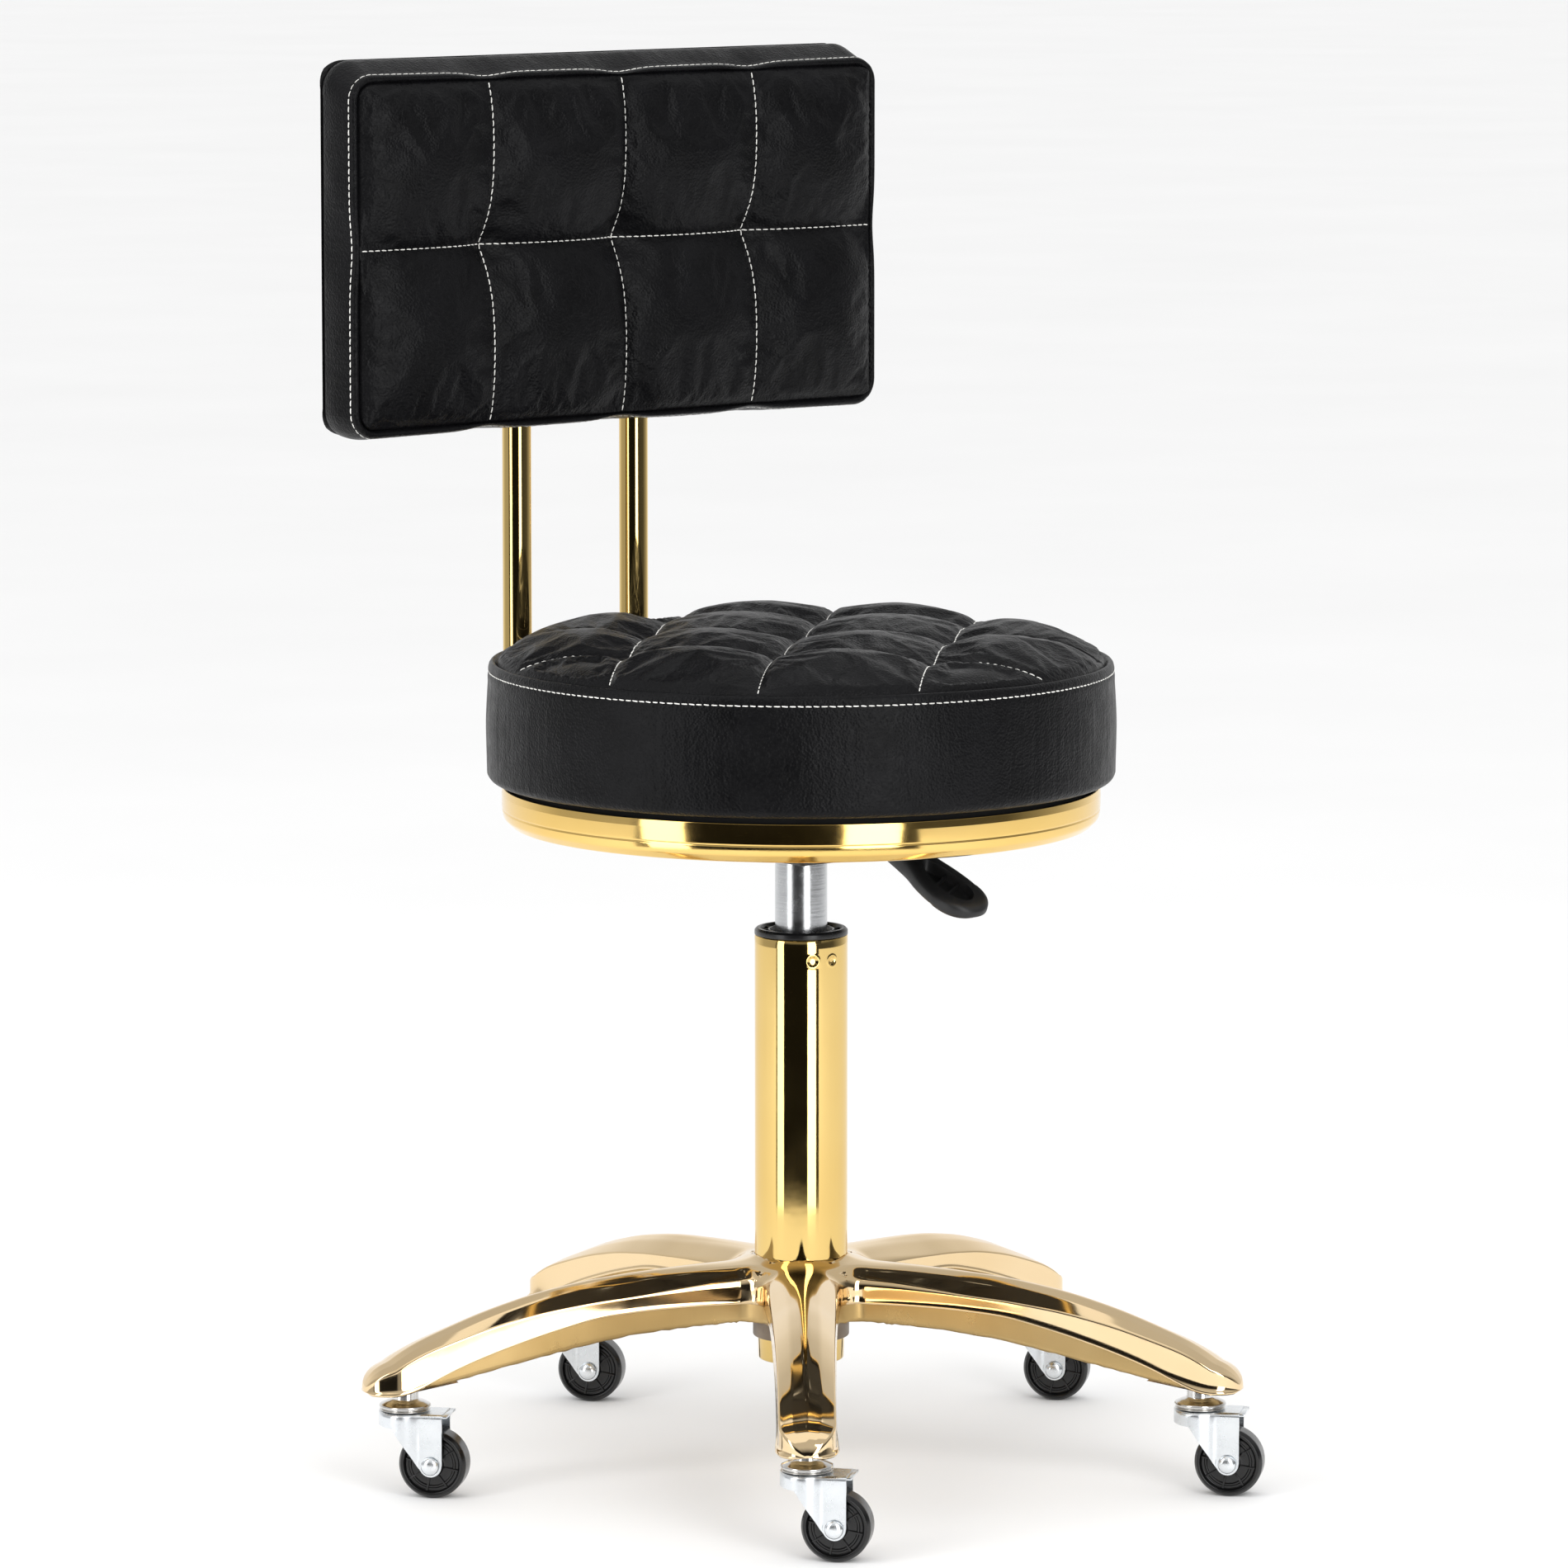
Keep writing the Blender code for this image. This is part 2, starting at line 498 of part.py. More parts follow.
def make_seat():
    plate = box("mechanism_plate", (-0.078, 0.078), (-0.056, 0.056), FLANGE, "black_steel", at(0, 0, 0))
    body = box("housing_body", (-0.033, 0.033), (-0.040, 0.038), (HOUSING_LOW, 0.3615), "black_steel",
               at(0, 0, 0), cutter=True, bevel=0.003)
    boolean(plate, body, "UNION")
    room = box("housing_room", (-0.0305, 0.0305), (-0.0375, 0.0355), (HOUSING_LOW + 0.0025, 0.3725),
               "black_steel", at(0, 0, 0), cutter=True)
    boolean(plate, room)
    neck = cylinder("socket_neck", 0.0200, HOUSING_LOW + 0.0005, 0.3440, "black_steel", 24, at(0, 0, 0), cutter=True)
    boolean(plate, neck, "UNION")
    bore = cylinder("socket_bore", CYL_R + GAP, 0.320, 0.350, "black_steel", 28, at(0, 0, 0), cutter=True)
    boolean(plate, bore)
    slot = box("lever_slot", (-0.0062, 0.0062), (-0.0600, -0.0300), (0.3435, 0.3645), "black_steel",
               at(0, 0, 0), cutter=True)
    boolean(plate, slot)
    pivot = cylinder("pivot_hole", 0.0028, -0.050, 0.050, "black_steel", 10,
                     at(0, PIVOT_Y, ROD_Z) @ TO_AXIS["X"], cutter=True)
    boolean(plate, pivot)
    for i, (x, y) in enumerate(PLATE_SCREWS):
        boolean(plate, cylinder(f"plate_hole_{i}", 0.0033, 0.340, 0.380, "black_steel", 10, at(x, y, 0), cutter=True))
        screw(f"plate_screw_{i + 1}", x, y)

    t = 0.0014
    lip = 0.1500
    pan = lathe("seat_pan", [
        (PAN_R - t, PAN_TOP), (PAN_R, PAN_TOP - 0.0003), (PAN_R, PAN_CREASE), (PAN_R - 0.0018, PAN_LOW + 0.0034),
        (PAN_R - 0.0054, PAN_LOW), (lip - t, PAN_LOW), (lip - t, WEB_LOW),
        (0.0100, WEB_LOW), (0.0100, WEB_TOP), (lip, WEB_TOP), (lip, PAN_LOW + t),
        (PAN_R - 0.0062, PAN_LOW + t), (PAN_R - t, PAN_CREASE - 0.0004)],
        "gold", 36, at(0, 0, 0))
    board = cylinder("seat_board", BOARD_R - 0.0075, WEB_TOP + GAP, BOARD_TOP, "plywood", 32, at(0, 0, 0))
    for i, (x, y) in enumerate(PLATE_SCREWS + BRACKET_SCREWS):
        for ob, tag in ((pan, "pan"), (board, "board")):
            boolean(ob, cylinder(f"{tag}_hole_{i}", 0.0033, 0.355, BOARD_TOP - 0.0015 if tag == "board" else 0.370,
                                 "plywood", 8, at(x, y, 0), cutter=True))

    # cushion: leatherette cover, open below, over foam that stands on the board
    low, w = SEAT_LOW, COVER_WALL
    top = SEAT_TOP
    skin = [(0.0, top), (0.050, top), (0.105, top - 0.0050), (0.148, top - 0.0145), (SEAT_R - 0.0012, SEAM_Z),
            (SEAT_R + 0.0008, 0.4100), (SEAT_R - 0.0015, 0.3815), (SEAT_R - 0.0060, low)]
    inside = [(SEAT_R - 0.0080, low), (SEAT_R - 0.0015 - w, 0.3825), (SEAT_R + 0.0008 - w, 0.4100),
              (SEAT_R - 0.0012 - w, SEAM_Z - 0.0010), (0.147, top - 0.0145 - w), (0.105, top - 0.0050 - w),
              (0.0, top - w)]
    lathe("seat_cover", skin + inside, "leatherette", 36, at(0, 0, 0), closed=False)
    g = 0.0007
    lathe("seat_foam", [(0.0, top - w - g), (0.104, top - 0.0052 - w - g), (0.1460, top - 0.0148 - w - g),
                        (SEAT_R - 0.0016 - w - g, SEAM_Z - 0.0020), (SEAT_R + 0.0004 - w - g, 0.4100),
                        (SEAT_R - 0.0021 - w - g, 0.3830), (SEAT_R - 0.0090 - g, BOARD_TOP + GAP),
                        (0.0, BOARD_TOP + GAP)],
          "foam", 36, at(0, 0, 0), closed=False)


# ------------------------------------------------------------------ backrest
def make_backrest():
    bracket = box("backrest_bracket", (-0.062, 0.062), (0.066, 0.106), FLANGE, "black_steel", at(0, 0, 0))
    for side in (-1, 1):
        block = box(f"bracket_block_{side}", (side * POST_X - 0.0105, side * POST_X + 0.0105), (0.0665, 0.1055),
                    (POST_LEG_Z + POST_R + GAP, FLANGE[0] + 0.001), "black_steel", at(0, 0, 0), cutter=True)
        boolean(bracket, block, "UNION")
    for i, (x, y) in enumerate(BRACKET_SCREWS):
        boolean(bracket, cylinder(f"bracket_hole_{i}", 0.0033, 0.340, 0.380, "black_steel", 10, at(x, y, 0), cutter=True))
        screw(f"bracket_screw_{i + 1}", x, y)

    def path(start, top):
        pts = [(0, start, POST_LEG_Z)]
        cy, cz = POST_Y - POST_BEND, POST_LEG_Z + POST_BEND
        for i in range(6):
            a = math.radians(-90 + 18 * i)
            pts.append((0, cy + POST_BEND * math.cos(a), cz + POST_BEND * math.sin(a)))
        return pts + [(0, POST_Y, top)]

    mid = (BACK_LOW + BACK_HIGH) / 2
    stand = Matrix.Translation((AXIS[0], AXIS[1], mid)) @ Matrix.Rotation(math.radians(90), 4, "X")

    def slab(name, inset, y0, y1, finish, cutter=False):
        # outline in X-Z; local +Z of the prism points along -Y
        out = rounded(BACK_W - 2 * inset, BACK_HIGH - BACK_LOW - 2 * inset, max(BACK_CORNER - inset, 0.004), 4)
        return prism(name, out, -y1, -y0, finish, stand, cutter)

    w = COVER_WALL
    cover = slab("backrest_cover", 0.0, BACK_FRONT, 0.1799, "leatherette")
    boolean(cover, slab("backrest_cover_room", w, BACK_FRONT + w, 0.2200, "leatherette", cutter=True))
    slab("backrest_foam", w + 0.0005, BACK_FRONT + w + 0.0005, 0.1705, "foam")
    board = slab("backrest_board", w + 0.0010, 0.1709, 0.1799, "plywood")
    panel = slab("backrest_panel", 0.0006, 0.1803, BACK_REAR, "leatherette")
    for side, label in ((-1, "right"), (1, "left")):
        x = side * POST_X
        post = tube_mesh(f"post_{label}", path(0.0620, POST_TOP), POST_R, at(x, 0, 0))
        bore = tube_mesh(f"post_bore_{label}", path(0.0500, POST_TOP + 0.010), POST_R - 0.0015, at(x, 0, 0), cutter=True)
        boolean(post, bore)
        for j, z in enumerate(BOLT_Z):
            hole = cylinder(f"bolt_hole_{label}_{j}", 0.0031, 0.1735, 0.2200, "steel", 8, at(x, 0, z) @ TO_AXIS["Y"], cutter=True)
            for ob in (post, panel, board):
                boolean(ob, hole)
            y = POST_Y + POST_R + GAP
            lathe(f"post_bolt_{label}_{j + 1}",
                  [(0.0, y + 0.0032), (0.0036, y + 0.0030), (0.0056, y), (0.0026, y), (0.0026, 0.1745), (0.0, 0.1745)],
                  "steel", 10, at(x, 0, z) @ TO_AXIS["Y"], closed=False)


# --------------------------------------------------------------------- lever
def make_lever():
    """Bent rod from over the release pin, through the housing, to the paddle."""
    start, knee = 0.0060, -0.0620
    pts = [(0, start, ROD_Z), (0, knee, ROD_Z), (0, knee - 0.0080, ROD_Z - 0.0020), (0, -0.1000, ROD_Z - 0.0150)]
    rod = tube_mesh("lever_rod", pts, LEVER_R, at(0, 0, 0), finish="steel")
    hole = cylinder("rod_pivot_hole", 0.0020, -0.02, 0.02, "steel", 10, at(0, PIVOT_Y, ROD_Z) @ TO_AXIS["X"], cutter=True)
    boolean(rod, hole)
    lathe("lever_pivot", [(0.0, 0.0352), (0.0016, 0.0352), (0.0016, -0.0338), (0.0034, -0.0338), (0.0034, -0.0358), (0.0, -0.0358)],
          "steel", 10, at(0, PIVOT_Y, ROD_Z) @ TO_AXIS["X"], closed=False)

    # paddle: flattened oval that droops along -Y, with a finger scoop
    droop = math.radians(23.5)
    roll = math.radians(3.0)
    head = at(0, -0.0800, ROD_Z - 0.0072) @ Matrix.Rotation(math.radians(-90), 4, "Z") \
        @ Matrix.Rotation(droop, 4, "Y") @ Matrix.Rotation(roll, 4, "X")
    # local +X runs out along the paddle, +Z is its upper face
    shape = ((0.000, 0.0085, 0.0070, 0.0), (0.010, 0.0090, 0.0070, 0.0), (0.020, 0.0101, 0.0068, 0.0),
             (0.032, 0.0138, 0.0062, 0.0), (0.0445, 0.0155, 0.0056, 0.0), (0.0555, 0.0144, 0.0052, 0.0),
             (0.064, 0.0107, 0.0046, 0.0), (0.0690, 0.0046, 0.0036, 0.0))
    rings = []
    for x, w, t, lift in shape:
        ring = []
        for i in range(12):
            a = 2 * math.pi * i / 12
            c, s = math.cos(a), math.sin(a)
            ring.append((x, math.copysign(abs(c) ** 0.75, c) * w, lift + math.copysign(abs(s) ** 0.75, s) * t))
        rings.append(ring)
    handle = loft("lever_handle", rings, "black_plastic", head)
    dish = []
    for x, w in ((0.0245, 0.0031), (0.0305, 0.0078), (0.0405, 0.0107), (0.0505, 0.0107), (0.0590, 0.0077), (0.0625, 0.0031)):
        dish.append([(x, -w, 0.0010), (x, w, 0.0010), (x, w, 0.0200), (x, -w, 0.0200)])
    boolean(handle, loft("handle_dish", dish, "black_plastic", head, cutter=True))
    socket = tube_mesh("handle_socket", [(0, -0.0500, ROD_Z), (0, knee, ROD_Z), (0, knee - 0.0080, ROD_Z - 0.0020),
                                         (0, -0.1006, ROD_Z - 0.0153)], LEVER_R + GAP, at(0, 0, 0), cutter=True)
    boolean(handle, socket)


make_base()
make_casters()
make_column()
make_seat()
make_backrest()
make_lever()
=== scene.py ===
"""Looks for the adjustable swivel stool: fine surfaces, materials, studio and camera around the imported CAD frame."""

import json
import math

import bmesh
import bpy
import numpy as np
from mathutils import Matrix, Vector
from mathutils.bvhtree import BVHTree


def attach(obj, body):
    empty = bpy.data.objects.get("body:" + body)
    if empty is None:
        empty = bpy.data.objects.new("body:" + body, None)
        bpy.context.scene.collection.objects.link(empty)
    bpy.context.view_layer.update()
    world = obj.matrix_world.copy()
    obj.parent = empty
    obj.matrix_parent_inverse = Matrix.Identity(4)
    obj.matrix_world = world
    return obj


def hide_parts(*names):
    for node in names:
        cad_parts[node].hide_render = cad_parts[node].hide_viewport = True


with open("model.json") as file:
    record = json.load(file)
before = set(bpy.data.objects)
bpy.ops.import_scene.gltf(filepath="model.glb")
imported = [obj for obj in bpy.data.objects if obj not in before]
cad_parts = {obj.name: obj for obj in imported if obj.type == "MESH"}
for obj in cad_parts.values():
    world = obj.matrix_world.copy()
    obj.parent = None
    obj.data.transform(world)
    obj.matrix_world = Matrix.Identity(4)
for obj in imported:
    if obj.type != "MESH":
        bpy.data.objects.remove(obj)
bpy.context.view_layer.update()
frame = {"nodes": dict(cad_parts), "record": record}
nodes = frame["nodes"]
scene = bpy.context.scene

# ------------------------------------------------------------ dimensions, as in the CAD model
AXIS = (-0.00583, -0.01405)
ARM_AZ = math.radians(-39.2)
ARM_TIP = 0.2455
STATIONS = np.array((
    (0.020, 0.0205, 0.1150, 0.1050, 0.0955, 0.0855),
    (0.038, 0.0205, 0.1150, 0.1040, 0.0955, 0.0852),
    (0.060, 0.0190, 0.1148, 0.1040, 0.0957, 0.0842),
    (0.090, 0.0175, 0.1135, 0.1030, 0.0948, 0.0822),
    (0.120, 0.0166, 0.1105, 0.1006, 0.0924, 0.0783),
    (0.150, 0.0158, 0.1050, 0.0966, 0.0850, 0.0720),
    (0.178, 0.0152, 0.0970, 0.0905, 0.0765, 0.0664),
    (0.200, 0.0150, 0.0888, 0.0838, 0.0685, 0.0616),
    (0.218, 0.0150, 0.0815, 0.0780, 0.0598, 0.0582),
    (0.231, 0.0149, 0.0750, 0.0720, 0.0570, 0.0575),
    (0.260, 0.0149, 0.0640, 0.0620, 0.0570, 0.0575),
))
STEM_R, TRAIL, TRAIL_AZ = 0.2225, 0.0160, math.radians(-50.0)
WHEEL_R, WHEEL_HALF = 0.01825, 0.0085
P0, P1, FORK_R, LEG_IN, LEG_OUT = 0.0439, 0.0462, 0.0140, 0.0104, 0.0120
GAP = 0.0003
TUBE_R, TUBE_TOP, COLLAR_TOP, CYL_R = 0.0250, 0.2910, 0.2950, 0.0140
PAN_R, PAN_TOP, PAN_CREASE, PAN_LOW = 0.1603, 0.3725, 0.3608, 0.3515
SEAT_R, SEAT_LOW, SEAM_Z, SEAT_TOP = 0.1690, 0.3755, 0.4345, 0.4560
BACK_W, BACK_LOW, BACK_HIGH = 0.3660, 0.5560, 0.7580
BACK_FRONT, BACK_REAR, BACK_CORNER = 0.1455, 0.1845, 0.0150
POST_X, POST_Y, POST_R = 0.0410, 0.1935, 0.0080
POST_LEG_Z, POST_BEND, POST_TOP = 0.3430, 0.0255, 0.7000
PIVOT_Y, ROD_Z, LEVER_R = -0.0240, 0.3529, 0.0040


def at(x, y, z):
    return Matrix.Translation((AXIS[0] + x, AXIS[1] + y, z))


def turned(k):
    return Matrix.Rotation(ARM_AZ + 2 * math.pi * k / 5 - math.pi / 2, 4, "Z")


TO_Y = Matrix.Rotation(math.radians(-90), 4, "X")
TO_X = Matrix.Rotation(math.radians(90), 4, "Y")


def ease(x, a, b):
    t = np.clip((np.asarray(x, float) - a) / (b - a), 0, 1)
    return t * t * (3 - 2 * t)


# ------------------------------------------------------------------------------- materials
class Finish:
    """A Principled material whose colour, roughness and bump come from procedural nodes."""

    def __init__(self, name, metallic=0.0, specular=0.5):
        self.m = bpy.data.materials.new(name)
        self.m.use_nodes = True
        self.nt = self.m.node_tree
        self.b = self.nt.nodes["Principled BSDF"]
        self.b.inputs["Metallic"].default_value = metallic
        self.b.inputs["Specular IOR Level"].default_value = specular
        self.coord = self.nt.nodes.new("ShaderNodeTexCoord").outputs["Object"]
        self.normal = None

    def new(self, kind, **props):
        n = self.nt.nodes.new(kind)
        for k, v in props.items():
            setattr(n, k, v)
        return n

    def stretch(self, x, y, z, turn=0.0):
        n = self.new("ShaderNodeMapping")
        n.inputs["Scale"].default_value = (x, y, z)
        n.inputs["Rotation"].default_value = (0, 0, turn)
        self.nt.links.new(self.coord, n.inputs["Vector"])
        return n.outputs["Vector"]

    def noise(self, scale, detail=4.0, rough=0.55, vector=None, distortion=0.0):
        n = self.new("ShaderNodeTexNoise")
        n.inputs["Scale"].default_value = scale
        n.inputs["Detail"].default_value = detail
        n.inputs["Roughness"].default_value = rough
        n.inputs["Distortion"].default_value = distortion
        self.nt.links.new(vector or self.coord, n.inputs["Vector"])
        return n.outputs["Fac"]

    def cells(self, scale, vector=None, feature="F1", smooth=0.0):
        n = self.new("ShaderNodeTexVoronoi", feature=feature)
        n.inputs["Scale"].default_value = scale
        if feature == "SMOOTH_F1":
            n.inputs["Smoothness"].default_value = smooth
        self.nt.links.new(vector or self.coord, n.inputs["Vector"])
        return n.outputs["Distance"]

    def ramp(self, fac, stops):
        n = self.new("ShaderNodeValToRGB")
        r = n.color_ramp
        while len(r.elements) < len(stops):
            r.elements.new(0.5)
        for e, (p, c) in zip(r.elements, stops):
            e.position = p
            e.color = (c, c, c, 1) if isinstance(c, float) else (*c, 1)
        self.nt.links.new(fac, n.inputs["Fac"])
        return n.outputs["Color"]

    def maths(self, op, a, b):
        n = self.new("ShaderNodeMath", operation=op)
        for socket, v in zip(n.inputs, (a, b)):
            if isinstance(v, float):
                socket.default_value = v
            else:
                self.nt.links.new(v, socket)
        return n.outputs[0]

    def colour(self, out):
        self.nt.links.new(out, self.b.inputs["Base Color"])
        return self

    def rough(self, fac, low, high, a=0.3, b=0.7):
        self.nt.links.new(self.ramp(fac, [(a, low), (b, high)]), self.b.inputs["Roughness"])
        return self

    def bump(self, height, strength, distance):
        n = self.new("ShaderNodeBump")
        n.inputs["Strength"].default_value = strength
        n.inputs["Distance"].default_value = distance
        self.nt.links.new(height, n.inputs["Height"])
        if self.normal is not None:
            self.nt.links.new(self.normal, n.inputs["Normal"])
        self.normal = n.outputs["Normal"]
        self.nt.links.new(self.normal, self.b.inputs["Normal"])
        return self


def gold(name, light, dark, low, high, brushed=0.0, wear=False):
    f = Finish(name, 1.0)
    tone = f.noise(9.0, 3.0)
    stops = [(0.30, dark), (0.62, light)]
    f.colour(f.ramp(tone, stops))
    f.rough(f.noise(38.0, 6.0, 0.62), low, high)
    f.bump(f.noise(55.0, 2.0), 0.05, 0.0006)
    if brushed:
        f.bump(f.noise(90.0, 5.0, 0.6, f.stretch(1.0, 1.0, 0.06)), brushed, 0.0004)
    return f.m


def leather(name, streak=0.0):
    f = Finish(name, 0.0, 0.13)
    f.colour(f.ramp(f.noise(34.0, 5.0), [(0.3, (0.0022, 0.0022, 0.0026)), (0.72, (0.0048, 0.0048, 0.0056))]))
    f.rough(f.noise(120.0, 5.0, 0.6), 0.30, 0.44)
    f.b.inputs["Coat Weight"].default_value = 0.0
    f.b.inputs["Coat Roughness"].default_value = 0.30
    # pebbled skin: small raised cells, cut by finer crackle
    f.bump(f.cells(760.0, feature="SMOOTH_F1", smooth=0.6), 0.50, 0.00060)
    f.bump(f.noise(330.0, 5.0, 0.65, distortion=0.8), 0.42, 0.00080)
    # soft creases of the stretched sheet
    f.bump(f.noise(70.0, 4.0, 0.6, distortion=1.2), 0.22, 0.00090)
    if streak:
        f.bump(f.noise(150.0, 5.0, 0.62, f.stretch(1.0, 1.0, 0.16), 0.8), streak, 0.0010)
    return f.m


def moulded(name, tone, low, high, grain=0.15, scale=600.0, specular=0.5):
    f = Finish(name, 0.0, specular)
    d = tuple(c * 0.7 for c in tone)
    f.colour(f.ramp(f.noise(45.0, 4.0), [(0.3, d), (0.7, tone)]))
    f.rough(f.noise(80.0, 6.0, 0.65), low, high)
    f.bump(f.noise(scale, 4.0, 0.6), grain, 0.0003)
    return f.m


def metal(name, light, dark, low, high, grain=0.06, scale=300.0, lines=None):
    f = Finish(name, 1.0)
    f.colour(f.ramp(f.noise(30.0, 5.0, 0.6), [(0.3, dark), (0.68, light)]))
    f.rough(f.noise(75.0, 6.0, 0.65), low, high)
    f.bump(f.noise(scale, 4.0, 0.6), grain, 0.0003)
    if lines:
        f.bump(f.noise(lines[0], 3.0, 0.5, f.stretch(*lines[1])), lines[2], 0.0003)
    return f.m


MAT = {}
MAT["gold"] = gold("polished_gold", (0.80, 0.575, 0.215), (0.76, 0.53, 0.185), 0.035, 0.085)
MAT["pan_gold"] = gold("ring_gold", (0.90, 0.62, 0.21), (0.86, 0.575, 0.17), 0.06, 0.13)
MAT["base_gold"] = gold("base_gold", (0.88, 0.675, 0.405), (0.84, 0.625, 0.35), 0.05, 0.115)
# lower pressing and tip plates: a rougher brushed finish of the same gold, in a darker colour that is painted shade
# under the arms
MAT["under_gold"] = gold("satin_gold_painted_shade", (0.62, 0.44, 0.20), (0.44, 0.29, 0.11), 0.24, 0.40, brushed=0.5)
MAT["bronze"] = metal("socket_bronze", (0.33, 0.27, 0.21), (0.17, 0.13, 0.10), 0.35, 0.55, 0.35, 260.0)
MAT["steel"] = metal("satin_steel", (0.66, 0.67, 0.68), (0.56, 0.57, 0.585), 0.20, 0.31, 0.04, 400.0,
                     (900.0, (0.03, 0.03, 1.0), 0.12))
MAT["zinc"] = metal("bright_zinc", (0.86, 0.89, 0.91), (0.74, 0.77, 0.80), 0.20, 0.34, 0.10, 350.0)
MAT["chrome"] = metal("race_chrome", (0.80, 0.79, 0.77), (0.62, 0.61, 0.59), 0.10, 0.22, 0.05)
MAT["wheel"] = moulded("wheel_plastic", (0.0040, 0.0038, 0.0040), 0.16, 0.28, 0.08)
MAT["plastic"] = moulded("lever_plastic", (0.009, 0.009, 0.0095), 0.38, 0.55, 0.30, 900.0)
MAT["collar"] = moulded("collar_plastic", (0.006, 0.006, 0.0065), 0.22, 0.38, 0.15, 700.0)
MAT["coated"] = moulded("black_coated_steel", (0.012, 0.012, 0.0125), 0.35, 0.52, 0.45, 500.0)
MAT["leather"] = leather("black_leatherette")
MAT["boxing"] = leather("black_leatherette_side", streak=0.20)
MAT["thread"] = moulded("white_thread", (0.84, 0.83, 0.79), 0.55, 0.75, 0.5, 2200.0)
MAT["under_cloth"] = moulded("black_underlining", (0.012, 0.012, 0.012), 0.75, 0.92, 0.6, 900.0, 0.2)


def wood():
    f = Finish("plywood", 0.0, 0.3)
    w = f.new("ShaderNodeTexWave", wave_type="BANDS", bands_direction="Y")
    w.inputs["Scale"].default_value = 60.0
    w.inputs["Distortion"].default_value = 6.0
    w.inputs["Detail"].default_value = 3.0
    f.nt.links.new(f.coord, w.inputs["Vector"])
    f.colour(f.ramp(w.outputs["Fac"], [(0.2, (0.36, 0.24, 0.13)), (0.8, (0.55, 0.40, 0.24))]))
    f.rough(f.noise(50.0), 0.6, 0.8)
    f.bump(w.outputs["Fac"], 0.15, 0.0005)
    return f.m


MAT["wood"] = wood()
MAT["foam"] = moulded("cushion_foam", (0.72, 0.68, 0.52), 0.85, 0.95, 0.8, 700.0, 0.1)

# ---------------------------------------------------------------------------- mesh helpers


def rounded_path(pts, n=4, closed=False):
    """Points (u, v[, radius[, segments]]) joined by lines, each corner rounded by its radius."""
    out = []
    m = len(pts)
    for i, p in enumerate(pts):
        r = p[2] if len(p) > 2 else 0.0
        k = p[3] if len(p) > 3 else n
        b = Vector(p[:2])
        if r <= 0 or (not closed and i in (0, m - 1)):
            out.append(tuple(b))
            continue
        u, v = Vector(pts[i - 1][:2]) - b, Vector(pts[(i + 1) % m][:2]) - b
        lu, lv = u.length, v.length
        if lu < 1e-7 or lv < 1e-7:
            out += [tuple(b)] * (k + 1)
            continue
        u.normalize()
        v.normalize()
        ang = u.angle(v)
        t = min(r / max(math.tan(ang / 2), 1e-6), lu * 0.48, lv * 0.48)
        if ang > math.pi - 0.01:
            out += [tuple(b + u * t * (1 - 2 * j / k)) if j * 2 <= k else tuple(b + v * t * (2 * j / k - 1))
                    for j in range(k + 1)]
            continue
        rr = t * math.tan(ang / 2)
        c = b + (u + v).normalized() * (rr / math.sin(ang / 2))
        a0, a1 = b + u * t - c, b + v * t - c
        th0, th1 = math.atan2(a0.y, a0.x), math.atan2(a1.y, a1.x)
        d = (th1 - th0 + math.pi) % (2 * math.pi) - math.pi
        out += [(c.x + rr * math.cos(th0 + d * j / k), c.y + rr * math.sin(th0 + d * j / k)) for j in range(k + 1)]
    return out


def to_object(bm, name, mat, angle=38.0, matrix=None, recalc=True, smooth=True):
    if recalc:
        bmesh.ops.recalc_face_normals(bm, faces=bm.faces)
    mesh = bpy.data.meshes.new(name)
    bm.to_mesh(mesh)
    bm.free()
    if smooth:
        mesh.shade_smooth()
        mesh.set_sharp_from_angle(angle=math.radians(angle))
    for one in (mat if isinstance(mat, (list, tuple)) else [mat]):
        mesh.materials.append(MAT[one])
    ob = bpy.data.objects.new(name, mesh)
    scene.collection.objects.link(ob)
    if matrix is not None:
        ob.matrix_world = matrix
    return ob


def turn_into(bm, profile, steps, matrix=None, closed=True, shift=0.0):
    """Adds a turned shape about local Z. Points on the axis become poles."""
    matrix = matrix or Matrix.Identity(4)
    rings = []
    for r, z in profile:
        if abs(r) < 1e-7:
            rings.append([bm.verts.new(matrix @ Vector((0, 0, z)))])
        else:
            rings.append([bm.verts.new(matrix @ Vector((r * math.cos(shift + 2 * math.pi * i / steps),
                                                        r * math.sin(shift + 2 * math.pi * i / steps), z)))
                          for i in range(steps)])
    pairs = list(zip(rings, rings[1:])) + ([(rings[-1], rings[0])] if closed else [])
    for a, b in pairs:
        for i in range(steps):
            j = (i + 1) % steps
            if len(a) == 1 and len(b) == 1:
                break
            if len(a) == 1:
                bm.faces.new((a[0], b[i], b[j]))
            elif len(b) == 1:
                bm.faces.new((a[i], a[j], b[0]))
            else:
                bm.faces.new((a[i], a[j], b[j], b[i]))


def lathe(name, pts, mat, matrix, steps=96, closed=True, n=4, angle=38.0):
    bm = bmesh.new()
    turn_into(bm, rounded_path(pts, n, closed), steps, None, closed)
    return to_object(bm, name, mat, angle, matrix)


